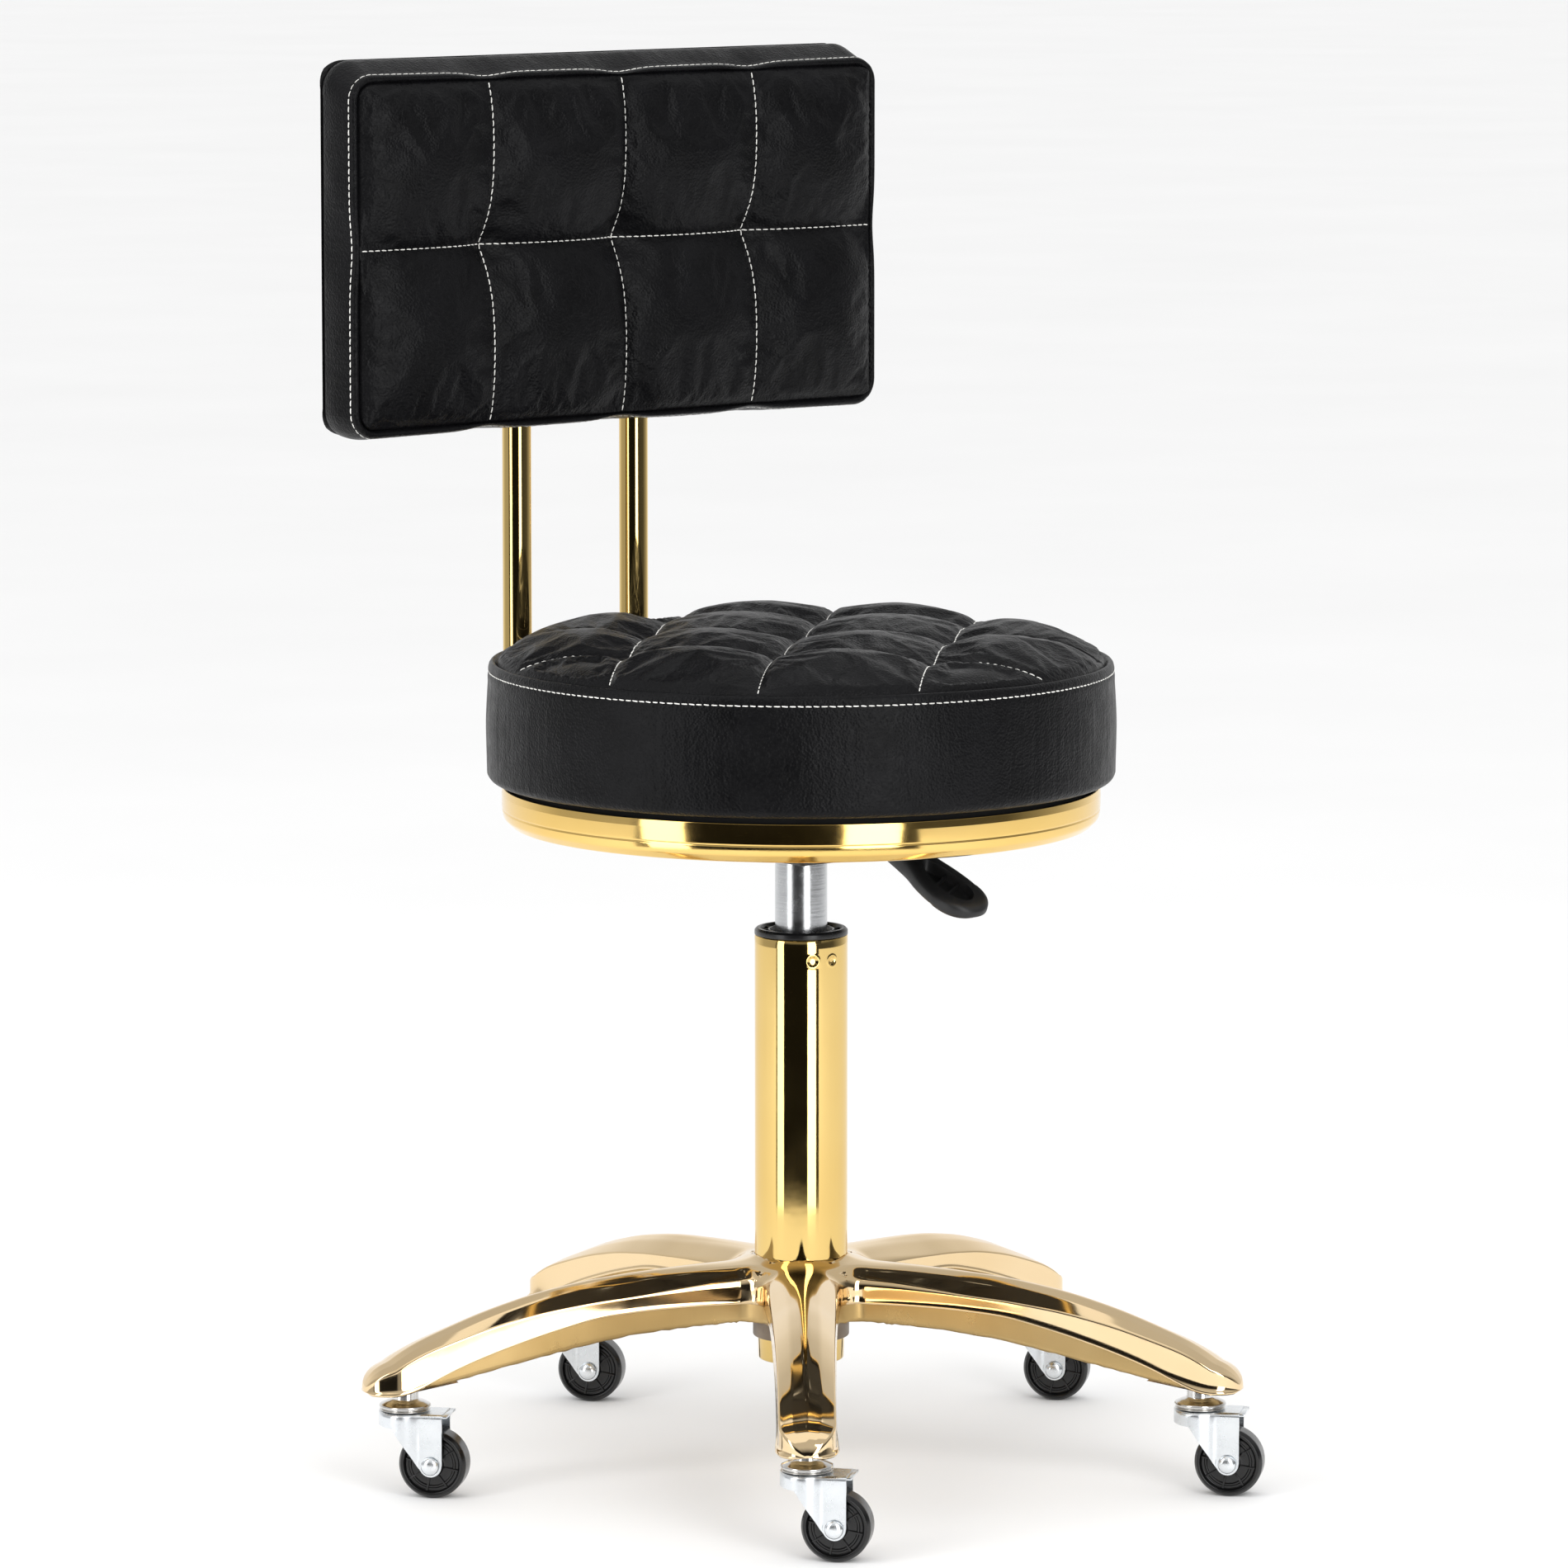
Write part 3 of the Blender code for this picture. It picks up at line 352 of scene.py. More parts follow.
def sweep_into(bm, points, outer, inner=None, segs=32):
    """Round bar or tube along a polyline."""
    pts = [Vector(p) for p in points]
    frames = []
    up = Vector((1, 0, 0))
    for i, p in enumerate(pts):
        d = (pts[min(i + 1, len(pts) - 1)] - pts[max(i - 1, 0)]).normalized()
        side = up - d * up.dot(d)
        side.normalize()
        frames.append((p, side, d.cross(side)))
    def rings(radius):
        return [[bm.verts.new(p + (s * math.cos(2 * math.pi * j / segs) + t * math.sin(2 * math.pi * j / segs)) * radius)
                 for j in range(segs)] for p, s, t in frames]
    out = rings(outer)
    for a, b in zip(out, out[1:]):
        for j in range(segs):
            bm.faces.new((a[j], a[(j + 1) % segs], b[(j + 1) % segs], b[j]))
    if inner:
        ins = rings(inner)
        for a, b in zip(ins, ins[1:]):
            for j in range(segs):
                bm.faces.new((a[j], b[j], b[(j + 1) % segs], a[(j + 1) % segs]))
        for a, b in ((out[0], ins[0]), (out[-1], ins[-1])):
            for j in range(segs):
                bm.faces.new((a[j], b[j], b[(j + 1) % segs], a[(j + 1) % segs]))
    else:
        bm.faces.new(out[0])
        bm.faces.new(out[-1])


def rounded_box(bm, x, y, z, bevel, segs=4):
    got = bmesh.ops.create_cube(bm, size=1.0)
    vs = got["verts"]
    bmesh.ops.scale(bm, vec=(x[1] - x[0], y[1] - y[0], z[1] - z[0]), verts=vs)
    bmesh.ops.translate(bm, vec=((x[0] + x[1]) / 2, (y[0] + y[1]) / 2, (z[0] + z[1]) / 2), verts=vs)
    edges = list({e for v in vs for e in v.link_edges})
    bmesh.ops.bevel(bm, geom=edges, offset=bevel, segments=segs, profile=0.5, affect="EDGES")


def baked(ob, remove=()):
    """Applies the object's modifiers and removes its cutters."""
    bpy.context.view_layer.update()
    dep = bpy.context.evaluated_depsgraph_get()
    mesh = bpy.data.meshes.new_from_object(ob.evaluated_get(dep))
    ob.modifiers.clear()
    ob.data = mesh
    for r in remove:
        bpy.data.objects.remove(r, do_unlink=True)
    return ob


def cut(ob, tools, how="DIFFERENCE", angle=38.0):
    for t in tools:
        m = ob.modifiers.new("cut", "BOOLEAN")
        m.operation = how
        m.solver = "EXACT"
        m.object = t
    baked(ob, tools)
    ob.data.shade_smooth()
    ob.data.set_sharp_from_angle(angle=math.radians(angle))
    return ob


def solidify(ob, thickness, offset=-1.0):
    m = ob.modifiers.new("Thickness", "SOLIDIFY")
    m.thickness = thickness
    m.offset = offset
    m.use_even_offset = False
    m.use_quality_normals = True
    baked(ob)
    return ob


def done(ob, body, slot, *replaced):
    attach(ob, body)
    if replaced:
        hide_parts(*replaced)
    return ob


# ------------------------------------------------------------------------------------ base
NOSE = 0.2090


def station(r):
    rr = r + np.linspace(-0.010, 0.010, 9)
    return [float(np.mean(np.interp(rr, STATIONS[:, 0], STATIONS[:, k]))) for k in range(1, 6)]


def nose(r):
    """Share of full size left at radius r, on the rounded end of an arm."""
    q = max((r - NOSE) / (ARM_TIP - NOSE), 0.0)
    return max(1 - q ** 3.0, 0.0) ** (1 / 2.0)


def in_plan(r, w, fillet=0.0105):
    """Half width of an arm, widened into the fillet that joins it to the next arm."""
    d = (w + fillet) / math.sin(math.pi / 5)
    cx = d * math.cos(math.pi / 5)
    if r >= cx:
        return w
    if r > cx - fillet * 0.97:
        return w + fillet - math.sqrt(fillet ** 2 - (r - cx) ** 2)
    return w + fillet * 0.76 + (cx - fillet * 0.97 - r) * 2


def top_section(r):
    w, ridge, shoulder, lip, _ = station(min(r, 0.2320))
    k = nose(r)
    w = in_plan(r, w) * (max(1 - max((r - 0.2260) / (ARM_TIP - 0.2260), 0.0) ** 2.2, 0.0) ** (1 / 2.2))
    flat = 1 - float(ease(r, 0.030, 0.105))
    ridge = lip + (ridge - lip) * k
    corner = lip + (shoulder - lip + 0.0040 * flat) * k
    rc = min(0.0016 + 0.0052 * flat, max(w * 0.45, 1e-4), max((corner - lip) * 0.7, 1e-4))
    rr = 0.0085 + 0.030 * flat
    hem = (0.0006 + 0.0012 * float(ease(r, 0.205, 0.232))) * min(k * 3, 1.0)
    half = [(-w - hem, lip), (-w - hem * 0.40, lip + 0.0009 * k), (-w, lip + 0.0026 * k), (-w, corner, rc, 7),
            (-w * 0.50, corner + (ridge - corner) * (0.64 + 0.20 * flat), max(w * 0.8, 1e-4), 4)]
    full = half + [(0.0, ridge, rr, 10)] + [(-p[0], *p[1:]) for p in reversed(half)]
    path = rounded_path(full)
    # a few points on the long flanks and walls
    out = []
    for i, (a, b) in enumerate(zip(path, path[1:])):
        out.append(a)
        if i in (2, 10, 26, 34):
            out += [(a[0] + (b[0] - a[0]) * t, a[1] + (b[1] - a[1]) * t) for t in (0.25, 0.5, 0.75)]
    out.append(path[-1])
    return [Vector((r, y, z)) for y, z in out]


def low_section(r):
    w, _, shoulder, lip, bottom = station(min(r, 0.2225))
    k = max(1 - max((r - 0.2215) / (0.2385 - 0.2215), 0.0) ** 2.2, 0.0) ** (1 / 2.2)
    w = (in_plan(r, w) - 0.0030) * k
    top = min(max(lip + 0.0045, bottom + 0.0060), shoulder - 0.0030)
    tuck = 0.0014 * k
    half = [(-w + tuck * 0.2, bottom), (-w, bottom + 0.0022, 0.0018, 3), (-w, top, min(0.0030, max(w * 0.4, 1e-4)), 5)]
    path = rounded_path(half + [(-p[0], *p[1:]) for p in reversed(half)])
    out = []
    for i, (a, b) in enumerate(zip(path, path[1:])):
        out.append(a)
        if i in (4, 10, 16):
            out += [(a[0] + (b[0] - a[0]) * t, a[1] + (b[1] - a[1]) * t) for t in (0.2, 0.4, 0.6, 0.8)]
    out.append(path[-1])
    return [Vector((r, y, z)) for y, z in out]


def star(name, section, reach, bore, mat, smooth_to):
    """Skin of five arms that meet half way between them, with a round bore."""
    one = bmesh.new()
    rings = [[one.verts.new(p) for p in section(r)] for r in reach]
    for a, b in zip(rings, rings[1:]):
        for i in range(len(a) - 1):
            one.faces.new((a[i], b[i], b[i + 1], a[i + 1]))
    half = math.pi / 5
    for side in (-1, 1):
        bmesh.ops.bisect_plane(one, geom=one.verts[:] + one.edges[:] + one.faces[:], dist=1e-7,
                               plane_co=(0, 0, 0), plane_no=(-math.sin(half), side * math.cos(half), 0),
                               clear_outer=True)
    wedge = bpy.data.meshes.new(name + "_wedge")
    one.to_mesh(wedge)
    one.free()
    bm = bmesh.new()
    for k in range(5):
        wedge.transform(turned(k))
        bm.from_mesh(wedge)
        wedge.transform(turned(k).inverted())
    bpy.data.meshes.remove(wedge)
    bmesh.ops.remove_doubles(bm, verts=bm.verts, dist=0.00002)
    bmesh.ops.dissolve_degenerate(bm, dist=0.00001, edges=bm.edges)
    # soften the valleys between the arms
    for _ in range(14):
        moved = []
        for v in bm.verts:
            rad = math.hypot(v.co.x, v.co.y)
            if rad > smooth_to or v.is_boundary:
                continue
            near = min(abs(((math.atan2(v.co.y, v.co.x) - ARM_AZ + math.pi / 2) / (2 * half) - 0.5) % 1.0),
                       1 - abs(((math.atan2(v.co.y, v.co.x) - ARM_AZ + math.pi / 2) / (2 * half) - 0.5) % 1.0))
            share = max(0.0, 1 - near * 2 * half * rad / 0.009)
            if share > 0:
                mean = sum((e.other_vert(v).co for e in v.link_edges), Vector()) / len(v.link_edges)
                moved.append((v, v.co.lerp(mean, 0.6 * share)))
        for v, co in moved:
            v.co = co
    # bore: draw the inner points out to its edge
    inner = [v for v in bm.verts if math.hypot(v.co.x, v.co.y) < bore - 1e-6]
    hidden = set(inner)
    bmesh.ops.delete(bm, geom=[f for f in bm.faces if all(v in hidden for v in f.verts)], context="FACES")
    for v in [v for v in inner if v.is_valid]:
        if not v.link_faces:
            bm.verts.remove(v)
            continue
        rad = max(math.hypot(v.co.x, v.co.y), 1e-6)
        v.co.x *= bore / rad
        v.co.y *= bore / rad
    bmesh.ops.remove_doubles(bm, verts=bm.verts, dist=0.00002)
    return bm


def make_base():
    reach = list(np.linspace(0.010, 0.062, 40)) + list(np.linspace(0.0655, NOSE, 40))
    reach += [NOSE + (ARM_TIP - NOSE) * math.sin(math.pi / 2 * i / 24) for i in range(1, 25)]
    bm = star("base_top", top_section, reach, TUBE_R + GAP, "base_gold", 0.075)
    for v in bm.verts:
        rad = math.hypot(v.co.x, v.co.y)
        if rad < 0.062 and v.co.z > 0.100:
            v.co.z += 0.0030 * math.exp(-(rad - TUBE_R) / 0.0050)
    ob = to_object(bm, "base_top_pressing", "base_gold", 50.0, at(0, 0, 0), recalc=True)
    flip_up(ob)
    solidify(ob, 0.0016)
    done(ob, "base", "gold", "base_shell")

    reach = list(np.linspace(0.012, 0.062, 34)) + list(np.linspace(0.066, 0.2215, 36))
    reach += [0.2215 + (0.2385 - 0.2215) * math.sin(math.pi / 2 * i / 10) for i in range(1, 11)]
    bm = star("base_low", low_section, reach, 0.0263, "under_gold", 0.075)
    # rough sheared lower edge
    for v in bm.verts:
        if v.is_boundary and math.hypot(v.co.x, v.co.y) > 0.03:
            s = 260 * (v.co.x * 1.3 + v.co.y) + 3 * math.sin(900 * v.co.y)
            v.co.z += 0.00022 * math.sin(s * 3.1) + 0.00018 * math.sin(s * 7.7)
    ob = to_object(bm, "base_bottom_pressing", "under_gold", 50.0, at(0, 0, 0), recalc=True)
    flip_up(ob)
    solidify(ob, 0.0018)
    # closing plate with the stem's hole, under each tip
    bm = bmesh.new()
    for k in range(5):
        out = []
        for i in range(49):
            a = math.pi * i / 48 - math.pi / 2
            out.append((0.2225 + 0.0150 * math.copysign(abs(math.cos(a)) ** 0.9, math.cos(a)), 0.0116 * math.sin(a)))
        ring = [(0.1960, -0.0112)] + out + [(0.1960, 0.0112)]
        hole = [(STEM_R + 0.0061 * math.cos(2 * math.pi * i / 32), 0.0061 * math.sin(2 * math.pi * i / 32)) for i in range(32)]
        for z in (0.0572, 0.0588):
            edges = []
            for loop in (ring, hole):
                vs = [bm.verts.new(turned(k) @ Vector((x, y, z + (0.0040 * max(0.206 - x, 0) / 0.010)))) for x, y in loop]
                edges += [bm.edges.new((vs[i], vs[(i + 1) % len(vs)])) for i in range(len(vs))]
            bmesh.ops.triangle_fill(bm, use_beauty=True, use_dissolve=False, edges=edges)
        bm.edges.ensure_lookup_table()
    plates = to_object(bm, "arm_tip_plates", "under_gold", 40.0, at(0, 0, 0))
    done(plates, "base", "gold")
    done(ob, "base", "gold", "base_frame")

    def taper(z):
        return 0.0230 + (TUBE_R - 0.0230) * (z - 0.0600) / (0.1180 - 0.0600)

    done(lathe("hub_boss", [(0.0260, 0.1040), (0.0260, 0.0726, 0.0012), (taper(0.0726) + GAP, 0.0726, 0.0006),
                            (taper(0.1040) + GAP, 0.1040)], "bronze", at(0, 0, 0)), "base", "socket_metal", "hub_socket")
    column_tube()
    ribs = bmesh.new()
    turn_into(ribs, rounded_path([
        (0.0238, COLLAR_TOP, 0.0008), (0.0250, COLLAR_TOP - 0.0012, 0.0006), (0.0251, TUBE_TOP + GAP, 0.0004),
        (0.0232, TUBE_TOP + GAP), (0.0232, 0.2250), (CYL_R + GAP, 0.2250), (CYL_R + GAP, 0.2915, 0.0004),
        (0.0163, 0.2920, 0.0003), (0.0168, 0.2940, 0.0004), (0.0178, 0.2942, 0.0003), (0.0182, 0.2926, 0.0004),
        (0.0212, 0.2926, 0.0004), (0.0220, COLLAR_TOP, 0.0004)], 3, True), 128, None, True)
    for i in range(16):
        a = 2 * math.pi * i / 16
        b = bmesh.new()
        rounded_box(b, (0.0178, 0.0216), (-0.0006, 0.0006), (0.2915, 0.2938), 0.0003, 2)
        b.transform(Matrix.Rotation(a, 4, "Z"))
        tmp = bpy.data.meshes.new("rib")
        b.to_mesh(tmp)
        b.free()
        ribs.from_mesh(tmp)
        bpy.data.meshes.remove(tmp)
    done(to_object(ribs, "collar_bush", "collar", 40.0, at(0, 0, 0)), "base", "black_plastic", "guide_bush")
    done(lathe("column_thrust_bearing", [(0.0120, 0.0660, 0.0006), (0.0120, 0.0629, 0.0006), (0.0045, 0.0629), (0.0045, 0.0660)],
               "steel", at(0, 0, 0), 64), "base", "bright_steel", "thrust_bearing")
    done(lathe("rod_clip", [(0.0075, 0.0592, 0.0003), (0.0075, 0.0582, 0.0003), (0.0034, 0.0582), (0.0034, 0.0592)],
               "zinc", at(0, 0, 0), 48), "base", "zinc", "retaining_clip")


def flip_up(ob):
    """Makes an open skin's faces point up and outward."""
    bm = bmesh.new()
    bm.from_mesh(ob.data)
    if sum(f.normal.z * f.calc_area() for f in bm.faces) < 0:
        bmesh.ops.reverse_faces(bm, faces=bm.faces)
    bm.to_mesh(ob.data)
    bm.free()


TO_CAM = Vector((math.sin(math.radians(-40)), -math.cos(math.radians(-40)), 0))
RIGHT = Vector((math.cos(math.radians(-40)), math.sin(math.radians(-40)), 0))


def column_tube():
    """Gold tube with two punched dimples under its rim."""
    r_in = TUBE_R - 0.0015
    outer = rounded_path([(TUBE_R - 0.0003, TUBE_TOP), (TUBE_R, TUBE_TOP - 0.0004), (TUBE_R, 0.2860)])
    outer += [(TUBE_R, z) for z in np.arange(0.2852, 0.2716, -0.0005)]
    outer += rounded_path([(TUBE_R, 0.2700), (TUBE_R, 0.1180, 0.01, 4), (0.0230, 0.0600, 0.0012), (0.0046, 0.0600),
                           (0.0046, 0.0626), (0.0214, 0.0626), (r_in, 0.1180), (r_in, TUBE_TOP)])
    bm = bmesh.new()
    turn_into(bm, outer, 288, None, True)
    marks = []
    for a, z, size, deep in ((14.5, 0.2797, 0.0031, 0.00085), (41.8, 0.2795, 0.0026, 0.00075)):
        d = TO_CAM * math.cos(math.radians(a)) + RIGHT * math.sin(math.radians(a))
        marks.append((math.atan2(d.y, d.x), z, size, deep))
    for v in bm.verts:
        rad = math.hypot(v.co.x, v.co.y)
        if rad < TUBE_R - 0.0002 or v.co.z < 0.268:
            continue
        for a, z, size, deep in marks:
            da = (math.atan2(v.co.y, v.co.x) - a + math.pi) % (2 * math.pi) - math.pi
            d = math.hypot(da * TUBE_R, v.co.z - z) / size
            if d < 1.6:
                push = deep * (1 - float(ease(d, 0.55, 1.0))) - 0.00022 * math.exp(-((d - 1.12) / 0.16) ** 2)
                v.co.x *= (rad - push) / rad
                v.co.y *= (rad - push) / rad
    done(to_object(bm, "gold_column_tube", "gold", 45.0, at(0, 0, 0)), "base", "gold", "column_tube")


# --------------------------------------------------------------------------------- casters
def fork_mesh():
    """Pressed fork: round cap with a skirt, two tapering legs, a tab on the open side."""
    end = TRAIL + 0.0062
    top = P1 - 0.0003
    bm = bmesh.new()

    def low(x):
        lead, foot = (-0.0045, P0 - 0.0058), (TRAIL - 0.0052, WHEEL_R - 0.0030)
        if x < lead[0]:
            return lead[1] + 0.0012 * ((lead[0] - x) / 0.0095) ** 2 * 0.6
        if x < foot[0]:
            t = (x - lead[0]) / (foot[0] - lead[0])
            return lead[1] + (foot[1] - lead[1]) * t
        return WHEEL_R - math.sqrt(max(0.0060 ** 2 - (x - TRAIL) ** 2, 0.0))

    xs = [-FORK_R * math.cos(math.pi / 2 * i / 14) for i in range(0, 14)]
    xs += list(np.linspace(0.0, TRAIL - 0.0060, 12))
    xs += [TRAIL - 0.0060 * math.cos(math.pi * i / 20) for i in range(1, 21)] + [end]
    rings = []
    for x in xs:
        if x < 0:
            w = math.sqrt(max(FORK_R ** 2 - x * x, 0.0)) * (1.0 if x < -0.004 else 1.0)
        else:
            w = FORK_R - (FORK_R - LEG_OUT) * float(ease(x, 0.0, 0.0075))
        w = max(w, 0.0002) - 0.0
        shoulder = 0.0022 * min(1.0, w / 0.004)
        z = low(x)
        wall = [(-w - 0.0000, z)] + [(-w, z + (top - 0.0022 - z) * t) for t in (0.15, 0.35, 0.6, 0.85)]
        # the leg's rear half is set in a little, with a vertical fold
        if x > 0.0:
            inset = 0.0009 * float(ease(x, 0.0085, 0.0105))
            wall = [(y + inset * float(ease(top - zz, 0.001, 0.004)), zz) for y, zz in wall]
        arc = [(-w + shoulder - shoulder * math.cos(math.pi / 2 * t), top - 0.0022 + 0.0022 * math.sin(math.pi / 2 * t))
               for t in (0.0, 0.25, 0.5, 0.75, 1.0)]
        half = wall + arc + [((-w + shoulder) * t, top) for t in (0.8, 0.6, 0.4, 0.2)]
        full = half + [(0.0, top)] + [(-y, zz) for y, zz in reversed(half)]
        rings.append([bm.verts.new((x, y, zz)) for y, zz in full])
    for a, b in zip(rings, rings[1:]):
        for i in range(len(a) - 1):
            bm.faces.new((a[i], b[i], b[i + 1], a[i + 1]))
    bmesh.ops.remove_doubles(bm, verts=bm.verts, dist=0.00005)
    inner = {v for v in bm.verts if v.co.z > top - 0.0004 and math.hypot(v.co.x, v.co.y) < 0.0046}
    bmesh.ops.delete(bm, geom=[f for f in bm.faces if all(v in inner for v in f.verts)], context="FACES")
    for v in [v for v in inner if v.is_valid]:
        if not v.link_faces:
            bm.verts.remove(v)
            continue
        rad = max(math.hypot(v.co.x, v.co.y), 1e-6)
        v.co.x *= 0.0046 / rad
        v.co.y *= 0.0046 / rad
    # tab that is bent forward over the wheel
    ob = to_object(bm, "fork_skin", "zinc", 32.0)
    flip_up(ob)
    solidify(ob, 0.0014)
    bm = bmesh.new()
    bm.from_mesh(ob.data)
    rounded_box(bm, (end - 0.0006, end + 0.0030), (-LEG_OUT + 0.0008, LEG_OUT - 0.0008), (top - 0.0018, top - 0.0004), 0.0005, 2)
    mesh = bpy.data.meshes.new("caster_fork_fine")
    bmesh.ops.recalc_face_normals(bm, faces=bm.faces)
    bm.to_mesh(mesh)
    bm.free()
    mesh.shade_smooth()
    mesh.set_sharp_from_angle(angle=math.radians(32))
    mesh.materials.append(MAT["zinc"])
    bpy.data.objects.remove(ob, do_unlink=True)
    return mesh


def wheel_mesh():
    bm = bmesh.new()
    w = WHEEL_HALF
    side = [(0.0029, 0.0098), (0.0056, 0.0098, 0.0006), (0.0064, 0.0066, 0.0008), (0.0112, 0.0060, 0.0004),
            (0.0116, 0.0066, 0.0002, 2), (0.0124, 0.0066, 0.0002, 2), (0.0128, 0.0060, 0.0004),
            (0.0142, 0.0060, 0.0006), (0.0152, w - 0.0002, 0.0006), (0.0166, w, 0.0008), (WHEEL_R, 0.0058, 0.0026, 7)]
    path = rounded_path(side + [(r, -z, *rest) for r, z, *rest in reversed(side)], 3)
    turn_into(bm, path, 72, TO_Y, True)
    for sgn in (-1, 1):
        for i in range(8):
            b = bmesh.new()
            rounded_box(b, (0.0058, 0.0145), (-0.00055, 0.00055), (0.0050, 0.0071), 0.0003, 2)
            b.transform(TO_Y @ Matrix.Scale(sgn, 4, (0, 0, 1)) @ Matrix.Rotation(math.pi * i / 4 + 0.2, 4, "Z"))
            tmp = bpy.data.meshes.new("spoke")
            b.to_mesh(tmp)
            b.free()
            bm.from_mesh(tmp)
            bpy.data.meshes.remove(tmp)
    bmesh.ops.recalc_face_normals(bm, faces=bm.faces)
    mesh = bpy.data.meshes.new("caster_wheel_fine")
    bm.to_mesh(mesh)
    bm.free()
    mesh.shade_smooth()
    mesh.set_sharp_from_angle(angle=math.radians(35))
    mesh.materials.append(MAT["wheel"])
    return mesh


def make_casters():
    fork, wheel = fork_mesh(), wheel_mesh()
    bm = bmesh.new()
    turn_into(bm, rounded_path([
        (0.0, 0.0700), (0.0055, 0.0690, 0.0006), (0.0055, 0.0566), (0.0070, 0.0566, 0.0004), (0.0070, 0.0518, 0.0010),
        (0.0100, 0.0511, 0.0020), (0.0134, 0.0497, 0.0012), (0.0139, 0.0487, 0.0005), (0.0134, 0.0480, 0.0003),
        (0.0120, 0.0478, 0.0002), (0.0120, 0.0473, 0.0002), (0.0132, 0.0471, 0.0003), (0.0137, 0.0467, 0.0003),
        (0.0130, P1 + GAP, 0.0002), (0.0042, P1 + GAP), (0.0042, P0 - GAP), (0.0066, P0 - GAP, 0.0006), (0.0, P0 - 0.0026)], 4), 64, None, False)
    bmesh.ops.recalc_face_normals(bm, faces=bm.faces)
    stem = bpy.data.meshes.new("caster_stem_fine")
    bm.to_mesh(stem)
    bm.free()
    bm = bmesh.new()
    h = LEG_OUT + GAP
    head = [(0.0, h + 0.0024), (0.0026, h + 0.0022), (0.0044, h + 0.0010), (0.0050, h, 0.0002), (0.0024, h)]
    turn_into(bm, rounded_path(head[:1] + [(0.0020, h + 0.0023), (0.0034, h + 0.0018)] + head[2:], 3)
              + [(r, -z) for r, z in reversed(rounded_path(head[:1] + [(0.0020, h + 0.0023), (0.0034, h + 0.0018)] + head[2:], 3))],
              40, TO_Y, False)
    bmesh.ops.recalc_face_normals(bm, faces=bm.faces)
    axle = bpy.data.meshes.new("caster_axle_fine")
    bm.to_mesh(axle)
    bm.free()
    for m, mat in ((stem, "chrome"), (axle, "zinc")):
        m.shade_smooth()
        m.set_sharp_from_angle(angle=math.radians(38))
        m.materials.append(MAT[mat])
    trail = Matrix.Rotation(TRAIL_AZ, 4, "Z")
    for k in range(5):
        n = k + 1
        swivel = Matrix.Translation((at(0, 0, 0) @ turned(k) @ Matrix.Translation((STEM_R, 0, 0))).to_translation())
        local = swivel @ trail
        hub = local @ Matrix.Translation((TRAIL, 0, WHEEL_R))
        for name, mesh, mat, body, slot, node in (
                ("stem_and_race", stem, swivel, "base", "zinc", "caster_stem"),
                ("fork", fork, local, f"caster_{n}", "zinc", "caster_fork"),
                ("axle_rivet", axle, hub, f"caster_{n}", "zinc", "caster_axle"),
                ("wheel", wheel, hub, f"wheel_{n}", "wheel_plastic", "caster_wheel")):
            ob = bpy.data.objects.new(f"{name}_{n}", mesh)
            scene.collection.objects.link(ob)
            ob.matrix_world = mat
            done(ob, node_body(f"{node}_{n}", body), slot, f"{node}_{n}")


BODY_OF = {n: b for b, ns in frame["record"]["behaviour"]["bodies"].items() for n in ns}


def node_body(node, fallback):
    return BODY_OF.get(node, fallback)


# ---------------------------------------------------------------------------------- column
def make_column():
    o = at(0, 0, 0)
    done(lathe("gas_cylinder_sleeve", [
        (0.0, 0.3325), (0.0040, 0.3325), (0.0040, 0.3455, 0.0003), (0.0128, 0.3455), (CYL_R, 0.3443, 0.0006),
        (CYL_R, 0.0970, 0.0008), (0.0045, 0.0970), (0.0045, 0.1070), (CYL_R - 0.0013, 0.1070), (CYL_R - 0.0013, 0.3275),
        (0.0, 0.3275)], "steel", o, 128, False), node_body("gas_cylinder", "seat"), "bright_steel", "gas_cylinder")
    done(lathe("gas_piston_rod", [
        (0.0, 0.2850), (0.0040, 0.2850), (0.0040, 0.0690), (0.0080, 0.0690, 0.0004), (0.0080, 0.0663, 0.0004), (0.0040, 0.0663),
        (0.0040, 0.0595), (0.0031, 0.0595), (0.0031, 0.0579), (0.0040, 0.0579), (0.0032, 0.0555, 0.0004), (0.0, 0.0555)],
        "steel", o, 48, False), node_body("piston_rod", "lift_rod"), "bright_steel", "piston_rod")
    done(lathe("gas_piston", [
        (0.0, 0.2973), (0.0110, 0.2973, 0.0006), (0.0123, 0.2960), (0.0123, 0.2930), (0.0112, 0.2928, 0.0003), (0.0112, 0.2900, 0.0003),
        (0.0123, 0.2898), (0.0123, 0.2866), (0.0110, 0.2853, 0.0006), (0.0, 0.2853)], "collar", o, 64, False),
        node_body("piston", "lift_rod"), "black_plastic", "piston")
    done(lathe("release_pin_turned", [(0.0, 0.3484), (0.0024, 0.3484, 0.0004), (0.0036, 0.3474), (0.0036, 0.3355), (0.0, 0.3357)],
               "steel", o, 40, False), "release_pin", "bright_steel", "release_pin")


